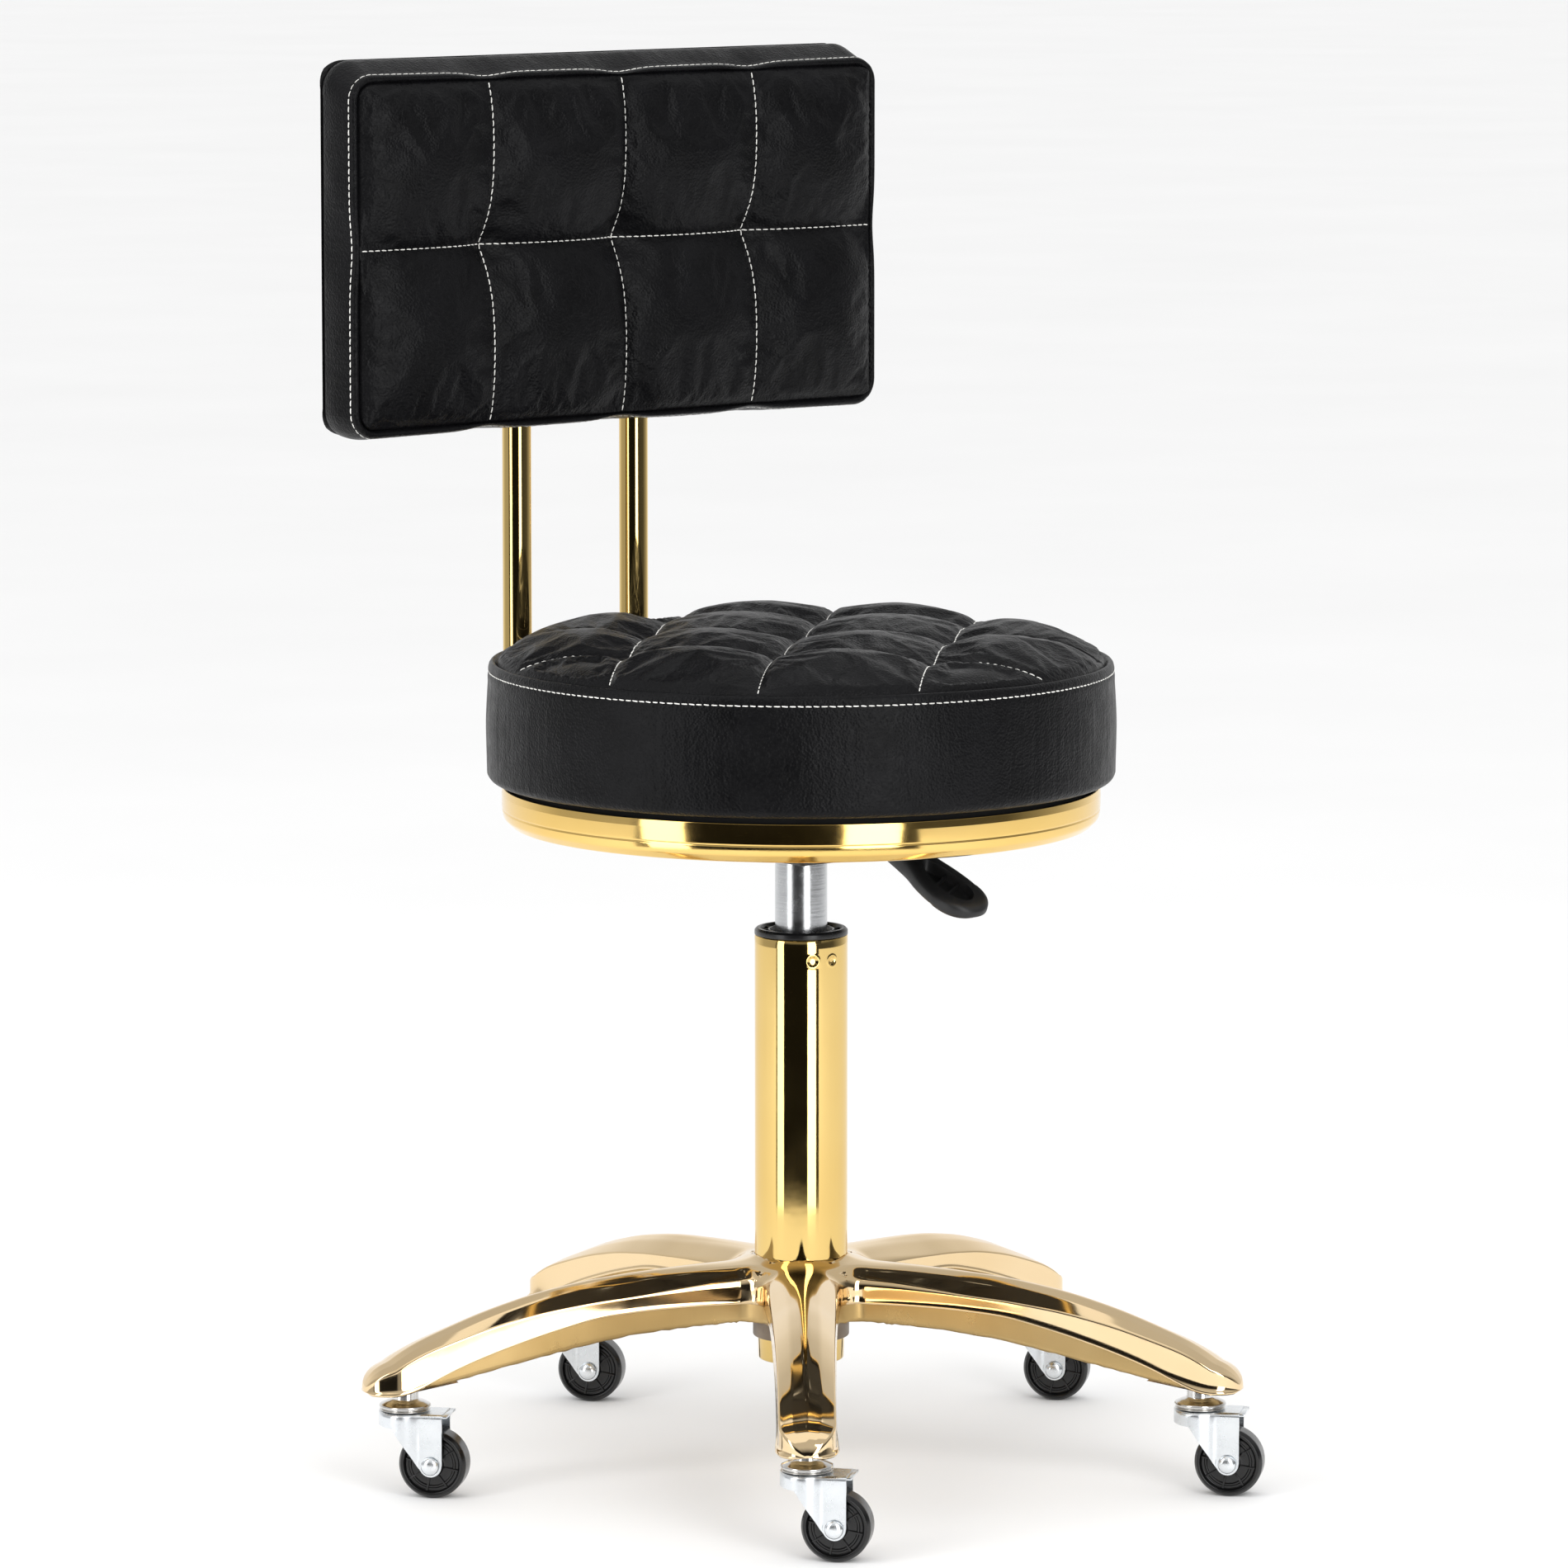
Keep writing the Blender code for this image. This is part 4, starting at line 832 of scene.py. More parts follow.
# ------------------------------------------------------------------------- under the seat
def cross_screw(name, x, y, mat="zinc"):
    f = 0.3599
    bm = bmesh.new()
    turn_into(bm, rounded_path([(0.0, 0.3740), (0.0022, 0.3730, 0.0003), (0.0028, f), (0.0058, f, 0.0003),
                                (0.0054, f - 0.0022, 0.0009), (0.0030, f - 0.0034, 0.0020), (0.0, f - 0.0036)], 4), 40, None, False)
    ob = to_object(bm, name, mat, 38.0)
    tools = []
    for a in (0, 90):
        b = bmesh.new()
        rounded_box(b, (-0.0026, 0.0026), (-0.0005, 0.0005), (f - 0.0060, f - 0.0018), 0.0002, 1)
        b.transform(Matrix.Rotation(math.radians(a + 20), 4, "Z"))
        tools.append(to_object(b, "slot", mat))
    cut(ob, tools)
    ob.matrix_world = at(x, y, 0)
    return ob


def flat_plate(name, x, y, z, corner, mat, holes=(), segs=8):
    """Sheet metal with rounded corners, softened edges and screw holes."""
    w, h = x[1] - x[0], y[1] - y[0]
    ring = []
    for k, (cx, cy) in enumerate(((1, 1), (-1, 1), (-1, -1), (1, -1))):
        for i in range(segs + 1):
            a = math.radians(90 * k + 90 * i / segs)
            ring.append(((x[0] + x[1]) / 2 + cx * (w / 2 - corner) + corner * math.cos(a),
                         (y[0] + y[1]) / 2 + cy * (h / 2 - corner) + corner * math.sin(a)))
    bm = bmesh.new()
    face = bm.faces.new([bm.verts.new((px, py, z[0])) for px, py in ring])
    got = bmesh.ops.extrude_face_region(bm, geom=[face])
    bmesh.ops.translate(bm, vec=(0, 0, z[1] - z[0]), verts=[v for v in got["geom"] if isinstance(v, bmesh.types.BMVert)])
    bmesh.ops.recalc_face_normals(bm, faces=bm.faces)
    bmesh.ops.bevel(bm, geom=[e for e in bm.edges if e.calc_face_angle(0) > 1.0], offset=0.0004, segments=2,
                    profile=0.5, affect="EDGES")
    ob = to_object(bm, name, mat, 38.0)
    tools = []
    for px, py, r in holes:
        b = bmesh.new()
        turn_into(b, [(0, z[1] + 0.003), (r, z[1] + 0.003), (r, z[0] - 0.003), (0, z[0] - 0.003)], 28,
                  Matrix.Translation((px, py, 0)), False)
        tools.append(to_object(b, "hole", mat))
    if tools:
        cut(ob, tools)
    return ob


PLATE_SCREWS = [(sx * 0.062, sy * 0.040) for sx in (-1, 1) for sy in (-1, 1)]
BRACKET_SCREWS = [(-0.014, 0.086), (0.014, 0.086)]


def make_under_seat():
    plate = flat_plate("seat_mechanism", (-0.078, 0.078), (-0.056, 0.056), (0.3602, 0.3632), 0.008, "coated",
                       [(x, y, 0.0033) for x, y in PLATE_SCREWS])
    b = bmesh.new()
    rounded_box(b, (-0.033, 0.033), (-0.040, 0.038), (0.3345, 0.3615), 0.0035, 5)
    body = to_object(b, "housing", "coated")
    b = bmesh.new()
    for sx in (-1, 1):
        rounded_box(b, (sx * 0.047 - 0.003, sx * 0.047 + 0.003), (-0.046, 0.046), (0.3587, 0.3609), 0.0010, 3)
    beads = to_object(b, "beads", "coated")
    cut(plate, [body, beads], "UNION")
    b = bmesh.new()
    rounded_box(b, (-0.0305, 0.0305), (-0.0375, 0.0355), (0.3370, 0.3725), 0.0010, 2)
    room = to_object(b, "room", "coated")
    b = bmesh.new()
    rounded_box(b, (-0.0062, 0.0062), (-0.0600, -0.0300), (0.3435, 0.3580), 0.0015, 3)
    slot = to_object(b, "slot", "coated")
    cut(plate, [room, slot])
    b = bmesh.new()
    turn_into(b, rounded_path([(0.0, 0.3440), (0.0200, 0.3440, 0.001), (0.0200, 0.3350, 0.0015), (0.0, 0.3350)], 4), 64, None, False)
    cut(plate, [to_object(b, "neck", "coated")], "UNION")
    b = bmesh.new()
    turn_into(b, [(0.0, 0.350), (CYL_R + GAP, 0.350), (CYL_R + GAP, 0.320), (0.0, 0.320)], 96, None, False)
    cut(plate, [to_object(b, "bore", "coated")], angle=30.0)
    plate.matrix_world = at(0, 0, 0)
    done(plate, "seat", "black_steel", "mechanism_plate")
    for i, (x, y) in enumerate(PLATE_SCREWS):
        done(cross_screw(f"mechanism_screw_{i + 1}", x, y), "seat", "zinc", f"plate_screw_{i + 1}")

    bracket = flat_plate("post_bracket", (-0.062, 0.062), (0.066, 0.106), (0.3602, 0.3632), 0.006, "coated",
                         [(x, y, 0.0033) for x, y in BRACKET_SCREWS])
    tools = []
    for sx in (-1, 1):
        b = bmesh.new()
        rounded_box(b, (sx * POST_X - 0.0105, sx * POST_X + 0.0105), (0.0665, 0.1055),
                    (POST_LEG_Z + POST_R + GAP, 0.3615), 0.0012, 3)
        tools.append(to_object(b, "block", "coated"))
    cut(bracket, tools, "UNION")
    bracket.matrix_world = at(0, 0, 0)
    done(bracket, "seat", "black_steel", "backrest_bracket")
    for i, (x, y) in enumerate(BRACKET_SCREWS):
        done(cross_screw(f"post_bracket_screw_{i + 1}", x, y), "seat", "zinc", f"bracket_screw_{i + 1}")

    t = 0.0014
    pan = [(PAN_R - t, PAN_TOP, 0.0006), (PAN_R - 0.0002, PAN_TOP, 0.0006), (PAN_R, 0.3685, 0.003), (PAN_R - 0.0001, PAN_CREASE + 0.0007, 0.0008),
           (PAN_R - 0.0006, PAN_CREASE, 0.0004, 3), (PAN_R - 0.0002, PAN_CREASE - 0.0009, 0.0008), (PAN_R - 0.0010, PAN_LOW + 0.0044, 0.0040, 6),
           (PAN_R - 0.0056, PAN_LOW, 0.0036, 7), (0.1486, PAN_LOW, 0.0014), (0.1486, 0.3635, 0.0014), (0.0100, 0.3635, 0.0003),
           (0.0100, 0.3650, 0.0003), (0.1500, 0.3650, 0.0014), (0.1500, PAN_LOW + t, 0.0014), (PAN_R - 0.0062, PAN_LOW + t, 0.0030),
           (PAN_R - t, PAN_CREASE - 0.0010, 0.0010)]
    ring = lathe("gold_seat_ring", pan, ["pan_gold", "coated"], at(0, 0, 0), 256, True, 4, 50.0)
    # the web and the faces inside the ring's recess take the black coating: painted shade in the recess
    for f in ring.data.polygons:
        r = math.hypot(f.center.x, f.center.y)
        out = (f.normal.x * f.center.x + f.normal.y * f.center.y) / max(r, 1e-6)
        if r < 0.1496 or (r < PAN_R - t * 0.7 and f.center.z < PAN_TOP - 0.001 and (out < -0.3 or f.normal.z > 0.3)):
            f.material_index = 1
    done(ring, "seat", "gold", "seat_pan")
    board = [(0.0, 0.3770), (0.1560, 0.3770, 0.0008), (0.1560, 0.3653, 0.0008), (0.0, 0.3653)]
    disc = lathe("round_seat_board", board, ["wood", "under_cloth"], at(0, 0, 0), 128, False)
    for f in disc.data.polygons:
        if math.hypot(f.center.x, f.center.y) > 0.120:
            f.material_index = 1
    done(disc, "seat", "plywood", "seat_board")



# -------------------------------------------------------------------------------- cushions
QUILT = math.radians(48.0)          # turn of the seat's quilting from the backrest's direction
CREASE_R = 0.1622
SEAT_LINES = (-0.0810, 0.0, 0.0810)
BACK_V = (-0.0915, 0.0, 0.0915)
BACK_MID = (BACK_LOW + BACK_HIGH) / 2


def dome(d, a, n=2.3, p=0.62):
    return (1 - (1 - np.clip(d / a, 0, 1)) ** n) ** p


def seat_height(u, v):
    """Top surface of the seat cushion in the quilting's own axes."""
    r = np.hypot(u, v)
    du = np.min([np.abs(u - s) for s in SEAT_LINES], axis=0)
    dv = np.min([np.abs(v - s) for s in SEAT_LINES], axis=0)
    rim = np.clip(CREASE_R - r, 0, None)
    env = dome(rim, 0.058, 2.0, 0.72)
    base = 0.4385 + 0.0130 * env
    cross = sum(np.exp(-((u - a) ** 2 + (v - b) ** 2) / (2 * 0.0135 ** 2)) for a in SEAT_LINES for b in SEAT_LINES)
    puff = 0.0046 * dome(du, 0.0405, 2.6, 0.52) * dome(dv, 0.0405, 2.6, 0.52) * dome(rim, 0.022, 2.2, 0.6)
    near_line = np.exp(-np.minimum(du, dv) / 0.010)
    return base + puff - 0.0046 * cross * env - 0.0006 * near_line * env


def back_depth(x, z):
    """Front surface of the backrest cushion: how far it lies behind its foremost plane."""
    a, b = BACK_W / 2 - 0.0052, (BACK_HIGH - BACK_LOW) / 2 - 0.0052
    ra, rb = np.clip(a - np.abs(x), 1e-5, None), np.clip(b - np.abs(z), 1e-5, None)
    rim = (ra ** -3 + rb ** -3) ** (-1 / 3)
    du = np.min([np.abs(x - s) for s in BACK_V], axis=0)
    dv = np.abs(z)
    env = dome(rim, 0.045, 2.0, 0.7)
    base = 0.0076 - 0.0050 * env
    cross = sum(np.exp(-np.sqrt(((x - s) / 0.0150) ** 2 + (z / 0.0160) ** 2 + 0.02)) for s in BACK_V)
    along = np.exp(-dv ** 2 / (2 * 0.016 ** 2))
    puff = 0.0058 * dome(du, 0.0457, 2.4, 0.55) * dome(dv, 0.0505, 2.4, 0.55) * dome(rim, 0.030, 2.0, 0.75)
    return base - puff + 0.0118 * cross * dome(rim, 0.03, 2.0, 0.6) + 0.0034 * along * env


def square_grid(n, m):
    """Grid vertex indices and the loop round its border, counter-clockwise."""
    index = lambda i, j: i * m + j
    faces = [(index(i, j), index(i + 1, j), index(i + 1, j + 1), index(i, j + 1)) for i in range(n - 1) for j in range(m - 1)]
    loop = [index(i, 0) for i in range(n - 1)] + [index(n - 1, j) for j in range(m - 1)]
    loop += [index(i, m - 1) for i in range(n - 1, 0, -1)] + [index(0, j) for j in range(m - 1, 0, -1)]
    return faces, loop


def puffed(verts, faces, pinned, name, pressure, frames, limit, up, grow=0.03):
    """Cloth simulation of a stitched panel: stitched points are held, the rest swells and wrinkles."""
    mesh = bpy.data.meshes.new(name)
    mesh.from_pydata([tuple(v) for v in verts], [], faces)
    ob = bpy.data.objects.new(name, mesh)
    scene.collection.objects.link(ob)
    group = ob.vertex_groups.new(name="stitched")
    for w in sorted(set(np.round(pinned[pinned > 0.02], 2))):
        group.add([int(i) for i in np.nonzero(np.round(pinned, 2) == w)[0]], float(w), "REPLACE")
    m = ob.modifiers.new("Cloth", "CLOTH")
    s = m.settings
    s.quality = 6
    s.mass = 0.25
    s.tension_stiffness = s.compression_stiffness = 18.0
    s.shear_stiffness = 8.0
    s.bending_stiffness = 0.6
    s.use_pressure = True
    s.uniform_pressure_force = pressure
    s.vertex_group_mass = "stitched"
    s.pin_stiffness = 1.0
    s.shrink_min = -grow
    s.shrink_max = -grow
    s.effector_weights.gravity = 0.0
    m.collision_settings.use_collision = False
    m.collision_settings.use_self_collision = False
    m.point_cache.frame_start = 1
    m.point_cache.frame_end = frames + 1
    for f in range(1, frames + 1):
        scene.frame_set(f)
    dep = bpy.context.evaluated_depsgraph_get()
    got = ob.evaluated_get(dep).to_mesh()
    co = np.array([v.co for v in got.vertices])
    ob.evaluated_get(dep).to_mesh_clear()
    bpy.data.objects.remove(ob, do_unlink=True)
    scene.frame_set(1)
    start = np.array(verts)
    move = co - start
    length = np.linalg.norm(move, axis=1)
    scale = np.where(length > limit, limit / np.maximum(length, 1e-9), 1.0)
    print("puffed", name, "moves up to", round(float(length.max()) * 1000, 2), "mm")
    return start + move * scale[:, None]


def build_cushion(name, panel, faces, loop, out_dir, rows, closing, place, mats):
    """Panel plus rings of points that follow its border outward, round the side and across the back.

    rows: functions of the border's angle index giving (offset, height); closing: rings scaled towards the middle.
    """
    bm = bmesh.new()
    verts = [bm.verts.new(p) for p in panel]
    for f in faces:
        bm.faces.new([verts[i] for i in f])
    ring = [verts[i] for i in loop]
    base = np.array([panel[i] for i in loop])
    count = len(ring)
    first = len(bm.faces)
    for k, (offset, height) in enumerate(rows):
        pos = base[:, :2] + out_dir * np.broadcast_to(offset, (count,))[:, None]
        h = np.broadcast_to(height, (count,))
        nxt = [bm.verts.new((pos[i, 0], pos[i, 1], h[i])) for i in range(count)]
        for i in range(count):
            j = (i + 1) % count
            f = bm.faces.new((ring[i], nxt[i], nxt[j], ring[j]))
            f.material_index = 1
        ring = nxt
    last = np.array([v.co for v in ring])
    for share, height in closing:
        nxt = [bm.verts.new((p[0] * share, p[1] * share, height)) for p in last]
        for i in range(count):
            j = (i + 1) % count
            f = bm.faces.new((ring[i], nxt[i], nxt[j], ring[j]))
            f.material_index = 2
        ring = nxt
    centre = bm.verts.new((0, 0, closing[-1][1]))
    for i in range(count):
        f = bm.faces.new((ring[i], centre, ring[(i + 1) % count]))
        f.material_index = 2
    return to_object(bm, name, mats, 70.0, place)


def ripple(angle, terms):
    return sum(a * np.sin(n * angle + p) for n, a, p in terms)


def stitch_run(bm, path, normals, pitch=0.0041, length=0.0037, radius=0.00036, lift=0.00012, closed=False, skip=()):
    """Thread as short pulled loops along a path on the surface."""
    pts = np.array(path)
    nrm = np.array(normals)
    if closed:
        pts = np.vstack([pts, pts[:1]])
        nrm = np.vstack([nrm, nrm[:1]])
    seg = np.linalg.norm(np.diff(pts, axis=0), axis=1)
    s = np.concatenate([[0], np.cumsum(seg)])
    count = max(int(s[-1] / pitch), 1)
    step = s[-1] / count
    look = lambda t, a: np.array([np.interp(t, s, a[:, c]) for c in range(3)])
    for i in range(count):
        mid = (i + 0.5) * step
        a, b = look(max(mid - length / 2, 0), pts), look(min(mid + length / 2, s[-1]), pts)
        c = look(mid, pts)
        n = Vector(look(mid, nrm)).normalized()
        d = Vector(b - a)
        if d.length < 1e-6:
            continue
        d.normalize()
        side = d.cross(n).normalized()
        tilt = (0.10 if i % 2 else 0.02)
        rings = []
        for t, q, dip in ((-0.44, 0.62, 0.00030), (-0.30, 0.95, 0.00008), (0.0, 1.0, 0.0), (0.30, 0.95, 0.00008), (0.44, 0.62, 0.00030)):
            o = Vector(c) if t == 0 else Vector(c).lerp(Vector(b if t > 0 else a), min(abs(t) / 0.5, 1.0))
            o = o + n * (lift - dip) + side * (t * length * tilt)
            rings.append([bm.verts.new(o + (side * math.cos(2 * math.pi * j / 6) + n * math.sin(2 * math.pi * j / 6)) * radius * q)
                          for j in range(6)])
        for p, q in zip(rings, rings[1:]):
            for j in range(6):
                bm.faces.new((p[j], p[(j + 1) % 6], q[(j + 1) % 6], q[j]))
        bm.faces.new(rings[0])
        bm.faces.new(list(reversed(rings[-1])))


def surface(ob):
    bm = bmesh.new()
    bm.from_mesh(ob.data)
    bm.transform(ob.matrix_world)
    tree = BVHTree.FromBMesh(bm)
    bm.free()
    return tree


def make_seat_cushion():
    n = 231
    lin = np.linspace(-1, 1, n)
    X, Y = np.meshgrid(lin, lin, indexing="ij")
    U = X * np.sqrt(1 - Y ** 2 / 2) * CREASE_R
    V = Y * np.sqrt(1 - X ** 2 / 2) * CREASE_R
    u, v = U.ravel(), V.ravel()
    faces, loop = square_grid(n, n)
    z = seat_height(u, v)
    panel = np.stack([u, v, z], axis=1)
    du = np.min([np.abs(u - s) for s in SEAT_LINES], axis=0)
    dv = np.min([np.abs(v - s) for s in SEAT_LINES], axis=0)
    pin = np.maximum(np.exp(-(np.minimum(du, dv) / 0.0016) ** 2), np.exp(-((CREASE_R - np.hypot(u, v)) / 0.0020) ** 2))
    panel = puffed(panel, faces, pin, "seat_panel_sim", 3.0, 18, 0.0035, 1, 0.02)
    angle = np.arctan2(v[loop], u[loop])
    out = np.stack([np.cos(angle), np.sin(angle)], axis=1)
    k = ripple(angle, ((7, 0.4, 1.0), (13, 0.3, 2.1), (29, 0.2, 0.3), (3, 0.3, 4.0)))
    fine = ripple(angle, ((173, 0.5, 0.0), (119, 0.35, 1.7), (67, 0.4, 0.6)))
    stitch = np.cos(angle * 294)
    c = CREASE_R
    rows = [(0.0003, 0.4376), (0.0008, 0.4379 + 0.0002 * k), (0.0015, 0.4389 + 0.0002 * k), (0.0026, 0.4396 + 0.0002 * k),
            (0.0037, 0.4393 + 0.0002 * k), (0.0045, 0.4381), (0.0049, 0.4366), (0.0050 + 0.00008 * stitch, 0.4355),
            (0.0048 + 0.00012 * stitch, SEAM_Z), (0.0050 + 0.00008 * stitch, 0.4336), (0.0053, 0.4316)]
    for zz in np.linspace(0.4285, 0.3835, 16):
        t = (zz - 0.3835) / (0.4285 - 0.3835)
        swell = SEAT_R - 0.0007 - 0.0012 * max(t - 0.5, 0) ** 1.5 * 2 - 0.0004 * max(0.5 - t, 0)
        wr = 0.00009 * fine * (0.35 + 0.65 * (1 - abs(2 * t - 1))) + 0.0005 * k * math.sin(math.pi * t)
        rows.append((swell - c + wr, zz))
    for t in np.linspace(0.12, 1.0, 8):
        a = math.pi / 2 * t
        rows.append((SEAT_R - 0.0009 - 0.0048 * (1 - math.cos(a)) - c + 0.0001 * fine * (1 - t), 0.3812 - 0.0054 * math.sin(a)))
    rows.append((0.1600 - c, 0.3757))
    rows.append((0.1570 - c, 0.3760))
    rows.append((0.1566 - c, 0.3776))
    closing = [(0.97, 0.3777), (0.7, 0.3777), (0.35, 0.3777), (0.05, 0.3777)]
    # u runs along the quilting's first direction, turned from the backrest's
    place = at(0, 0, 0) @ Matrix.Rotation(math.pi / 2 - QUILT, 4, "Z")
    ob = build_cushion("seat_cushion", panel, faces, loop, out, rows, closing, place, ["leather", "boxing", "under_cloth"])
    done(ob, "seat", "leatherette", "seat_cover", "seat_foam")
    tree = surface(ob)
    bm = bmesh.new()
    # edge seam
    path, nrm = [], []
    for i in range(720):
        a = 2 * math.pi * i / 720
        p = Vector((AXIS[0] + math.cos(a) * (SEAT_R + 0.004), AXIS[1] + math.sin(a) * (SEAT_R + 0.004), SEAM_Z))
        hit, normal, _, _ = tree.ray_cast(p, Vector((-math.cos(a), -math.sin(a), 0)))
        path.append(hit)
        nrm.append(normal)
    stitch_run(bm, path, nrm, closed=True)
    for along in (0, 1):
        for s in SEAT_LINES:
            half = math.sqrt((CREASE_R - 0.0015) ** 2 - s * s)
            path, nrm = [], []
            for t in np.linspace(-half, half, 260):
                p = place @ Vector((t, s, 0.50) if along == 0 else (s, t, 0.50))
                hit, normal, _, _ = tree.ray_cast(p, Vector((0, 0, -1)))
                if hit is not None:
                    path.append(hit)
                    nrm.append(normal.lerp(Vector((0, 0, 1)), 0.7))
            stitch_run(bm, path, nrm)
    st = to_object(bm, "seat_stitching", "thread", 60.0)
    done(st, "seat", "leatherette")


TOP_DROP = 0.0072                   # the front panel stops this far under the crown of its upper side


def make_back_cushion():
    a, b, R = BACK_W / 2 - 0.0052, (BACK_HIGH - BACK_LOW) / 2 - 0.0052, BACK_CORNER - 0.0052
    n, m = 221, 121
    gx, gz = np.linspace(-a, a, n), np.linspace(-b, b, m)
    X, Z = np.meshgrid(gx, gz, indexing="ij")
    x, z = X.ravel().copy(), Z.ravel().copy()
    i = np.clip((np.abs(x) - (a - R)) / R, 0, 1)
    j = np.clip((np.abs(z) - (b - R)) / R, 0, 1)
    cx = (a - R) + R * i * np.sqrt(1 - j ** 2 / 2)
    cz = (b - R) + R * j * np.sqrt(1 - i ** 2 / 2)
    inside = (i > 0) & (j > 0)
    x = np.where(inside, np.sign(x) * cx, x)
    z = np.where(inside, np.sign(z) * cz, z)
    faces, loop = square_grid(n, m)
    depth = back_depth(x, z)
    z = np.where(z > 0, z * (1 - TOP_DROP / b), z)
    # local frame: X across, Y up, Z towards the sitter
    panel = np.stack([x, z, -depth], axis=1)
    du = np.min([np.abs(x - s) for s in BACK_V], axis=0)
    rim = np.minimum(a - np.abs(x), np.where(z > 0, b - TOP_DROP - z, b + z))
    pin = np.maximum(np.exp(-(np.minimum(du, np.abs(z)) / 0.0016) ** 2), np.exp(-(np.clip(rim, 0, None) / 0.0020) ** 2))
    panel = puffed(panel, faces, pin, "back_panel_sim", 3.0, 18, 0.0035, 1, 0.02)
    px, pz = x[loop], z[loop]
    ox = np.sign(px) * np.clip(np.abs(px) - (a - R), 0, None)
    full_z = np.where(pz > 0, pz / (1 - TOP_DROP / b), pz)
    oz = np.sign(full_z) * np.clip(np.abs(full_z) - (b - R), 0, None)
    length = np.maximum(np.hypot(ox, oz), 1e-9)
    out = np.stack([ox / length, oz / length], axis=1)
    upper = np.clip(out[:, 1], 0, 1) ** 1.5
    arc = np.arctan2(pz / b, px / a)
    k = ripple(arc, ((5, 0.4, 1.0), (11, 0.3, 2.1), (23, 0.25, 0.3)))
    fine = ripple(arc, ((141, 0.5, 0.0), (97, 0.35, 1.7), (57, 0.4, 0.6)))
    horizontal = np.abs(out[:, 1]) > 0.7
    pull = -0.0020 * sum(np.exp(-((px - s) / 0.014) ** 2) for s in BACK_V) * horizontal
    pull = pull - 0.0016 * np.exp(-(pz / 0.016) ** 2) * (~horizontal)
    # long sides draw in a little between the corners
    waist = -0.0012 * np.cos(np.clip(px / a, -1, 1) * math.pi / 2) * horizontal
    rows = [(0.0003 + pull * 0.2, -0.0084), (0.0006 + pull * 0.4, -0.0082), (0.0012 + pull * 0.6, -0.0073 + 0.0002 * k),
            (0.0022 + pull * 0.8, -0.0067 + 0.0002 * k), (0.0033 + pull + waist * 0.5, -0.0069 + 0.0002 * k),
            (0.0043 + pull + waist, -0.0078), (0.0048 + pull + waist, -0.0092), (0.0047 + pull + waist, -0.0102),
            (0.0049 + pull + waist + 0.0004 * upper, -0.0113)]
    total = 0.1799 - BACK_FRONT
    for t in np.linspace(0.0, 1.0, 12):
        bulge = 0.0006 * math.sin(math.pi * t)
        crown = TOP_DROP * min(1.15 * t, 1.0) - 0.0012 * max(t - 0.7, 0) / 0.3
        rows.append((0.0052 + bulge + crown * upper + (pull + waist) * (1 - t) + 0.00010 * fine * math.sin(math.pi * (0.15 + 0.7 * t)) + 0.0004 * k * math.sin(math.pi * t),
                     -0.0128 - t * (total - 0.0128 - 0.0028)))
    end = (TOP_DROP - 0.0012) * upper
    rows += [(0.0047 + end, -total + 0.0016), (0.0036 + end, -total + 0.0005), (0.0022 + end, -total + 0.0001), (0.0 + end, -total)]
    closing = [(0.95, -total), (0.6, -total), (0.2, -total)]
    place = Matrix.Translation((AXIS[0], AXIS[1] + BACK_FRONT, BACK_MID)) @ Matrix.Rotation(math.radians(90), 4, "X")
    ob = build_cushion("backrest_cushion", panel, faces, loop, out, rows, closing, place, ["leather", "boxing", "under_cloth"])
    done(ob, "seat", "leatherette", "backrest_cover", "backrest_foam")
    tree = surface(ob)
    bm = bmesh.new()
    path, nrm = [], []
    w, h, r = BACK_W / 2, (BACK_HIGH - BACK_LOW) / 2, BACK_CORNER
    for q, (sx, sz) in enumerate(((1, 1), (-1, 1), (-1, -1), (1, -1))):
        for t in range(17):
            ang = math.radians(90 * q + 90 * t / 16)
            path.append(((w - r) * sx + r * math.cos(ang), (h - r) * sz + r * math.sin(ang)))
    ring = np.array(path + path[:1])
    seg = np.concatenate([[0], np.cumsum(np.linalg.norm(np.diff(ring, axis=0), axis=1))])
    path, nrm = [], []
    for s in np.linspace(0, seg[-1], 700, endpoint=False):
        p = Vector((np.interp(s, seg, ring[:, 0]), np.interp(s, seg, ring[:, 1]), 0))
        if p.y > 0:
            p.y *= 1 - TOP_DROP / h
        core = Vector((max(-(w - 0.02), min(w - 0.02, p.x)), max(-(h - 0.02), min(h - 0.02, p.y)), 0))
        d = (p - core).normalized()
        start = place @ (p + d * 0.004 + Vector((0, 0, -0.0102)))
        hit, normal, _, _ = tree.ray_cast(start, place.to_3x3() @ -d)
        if hit is not None:
            path.append(hit)
            nrm.append(normal)
    stitch_run(bm, path, nrm, closed=True)
    for s in BACK_V:
        add_face_run(bm, tree, place, [(s, t) for t in np.linspace(-b + 0.001, b - TOP_DROP - 0.001, 170)])
    add_face_run(bm, tree, place, [(t, 0.0) for t in np.linspace(-a + 0.001, a - 0.001, 300)])
    done(to_object(bm, "backrest_stitching", "thread", 60.0), "seat", "leatherette")

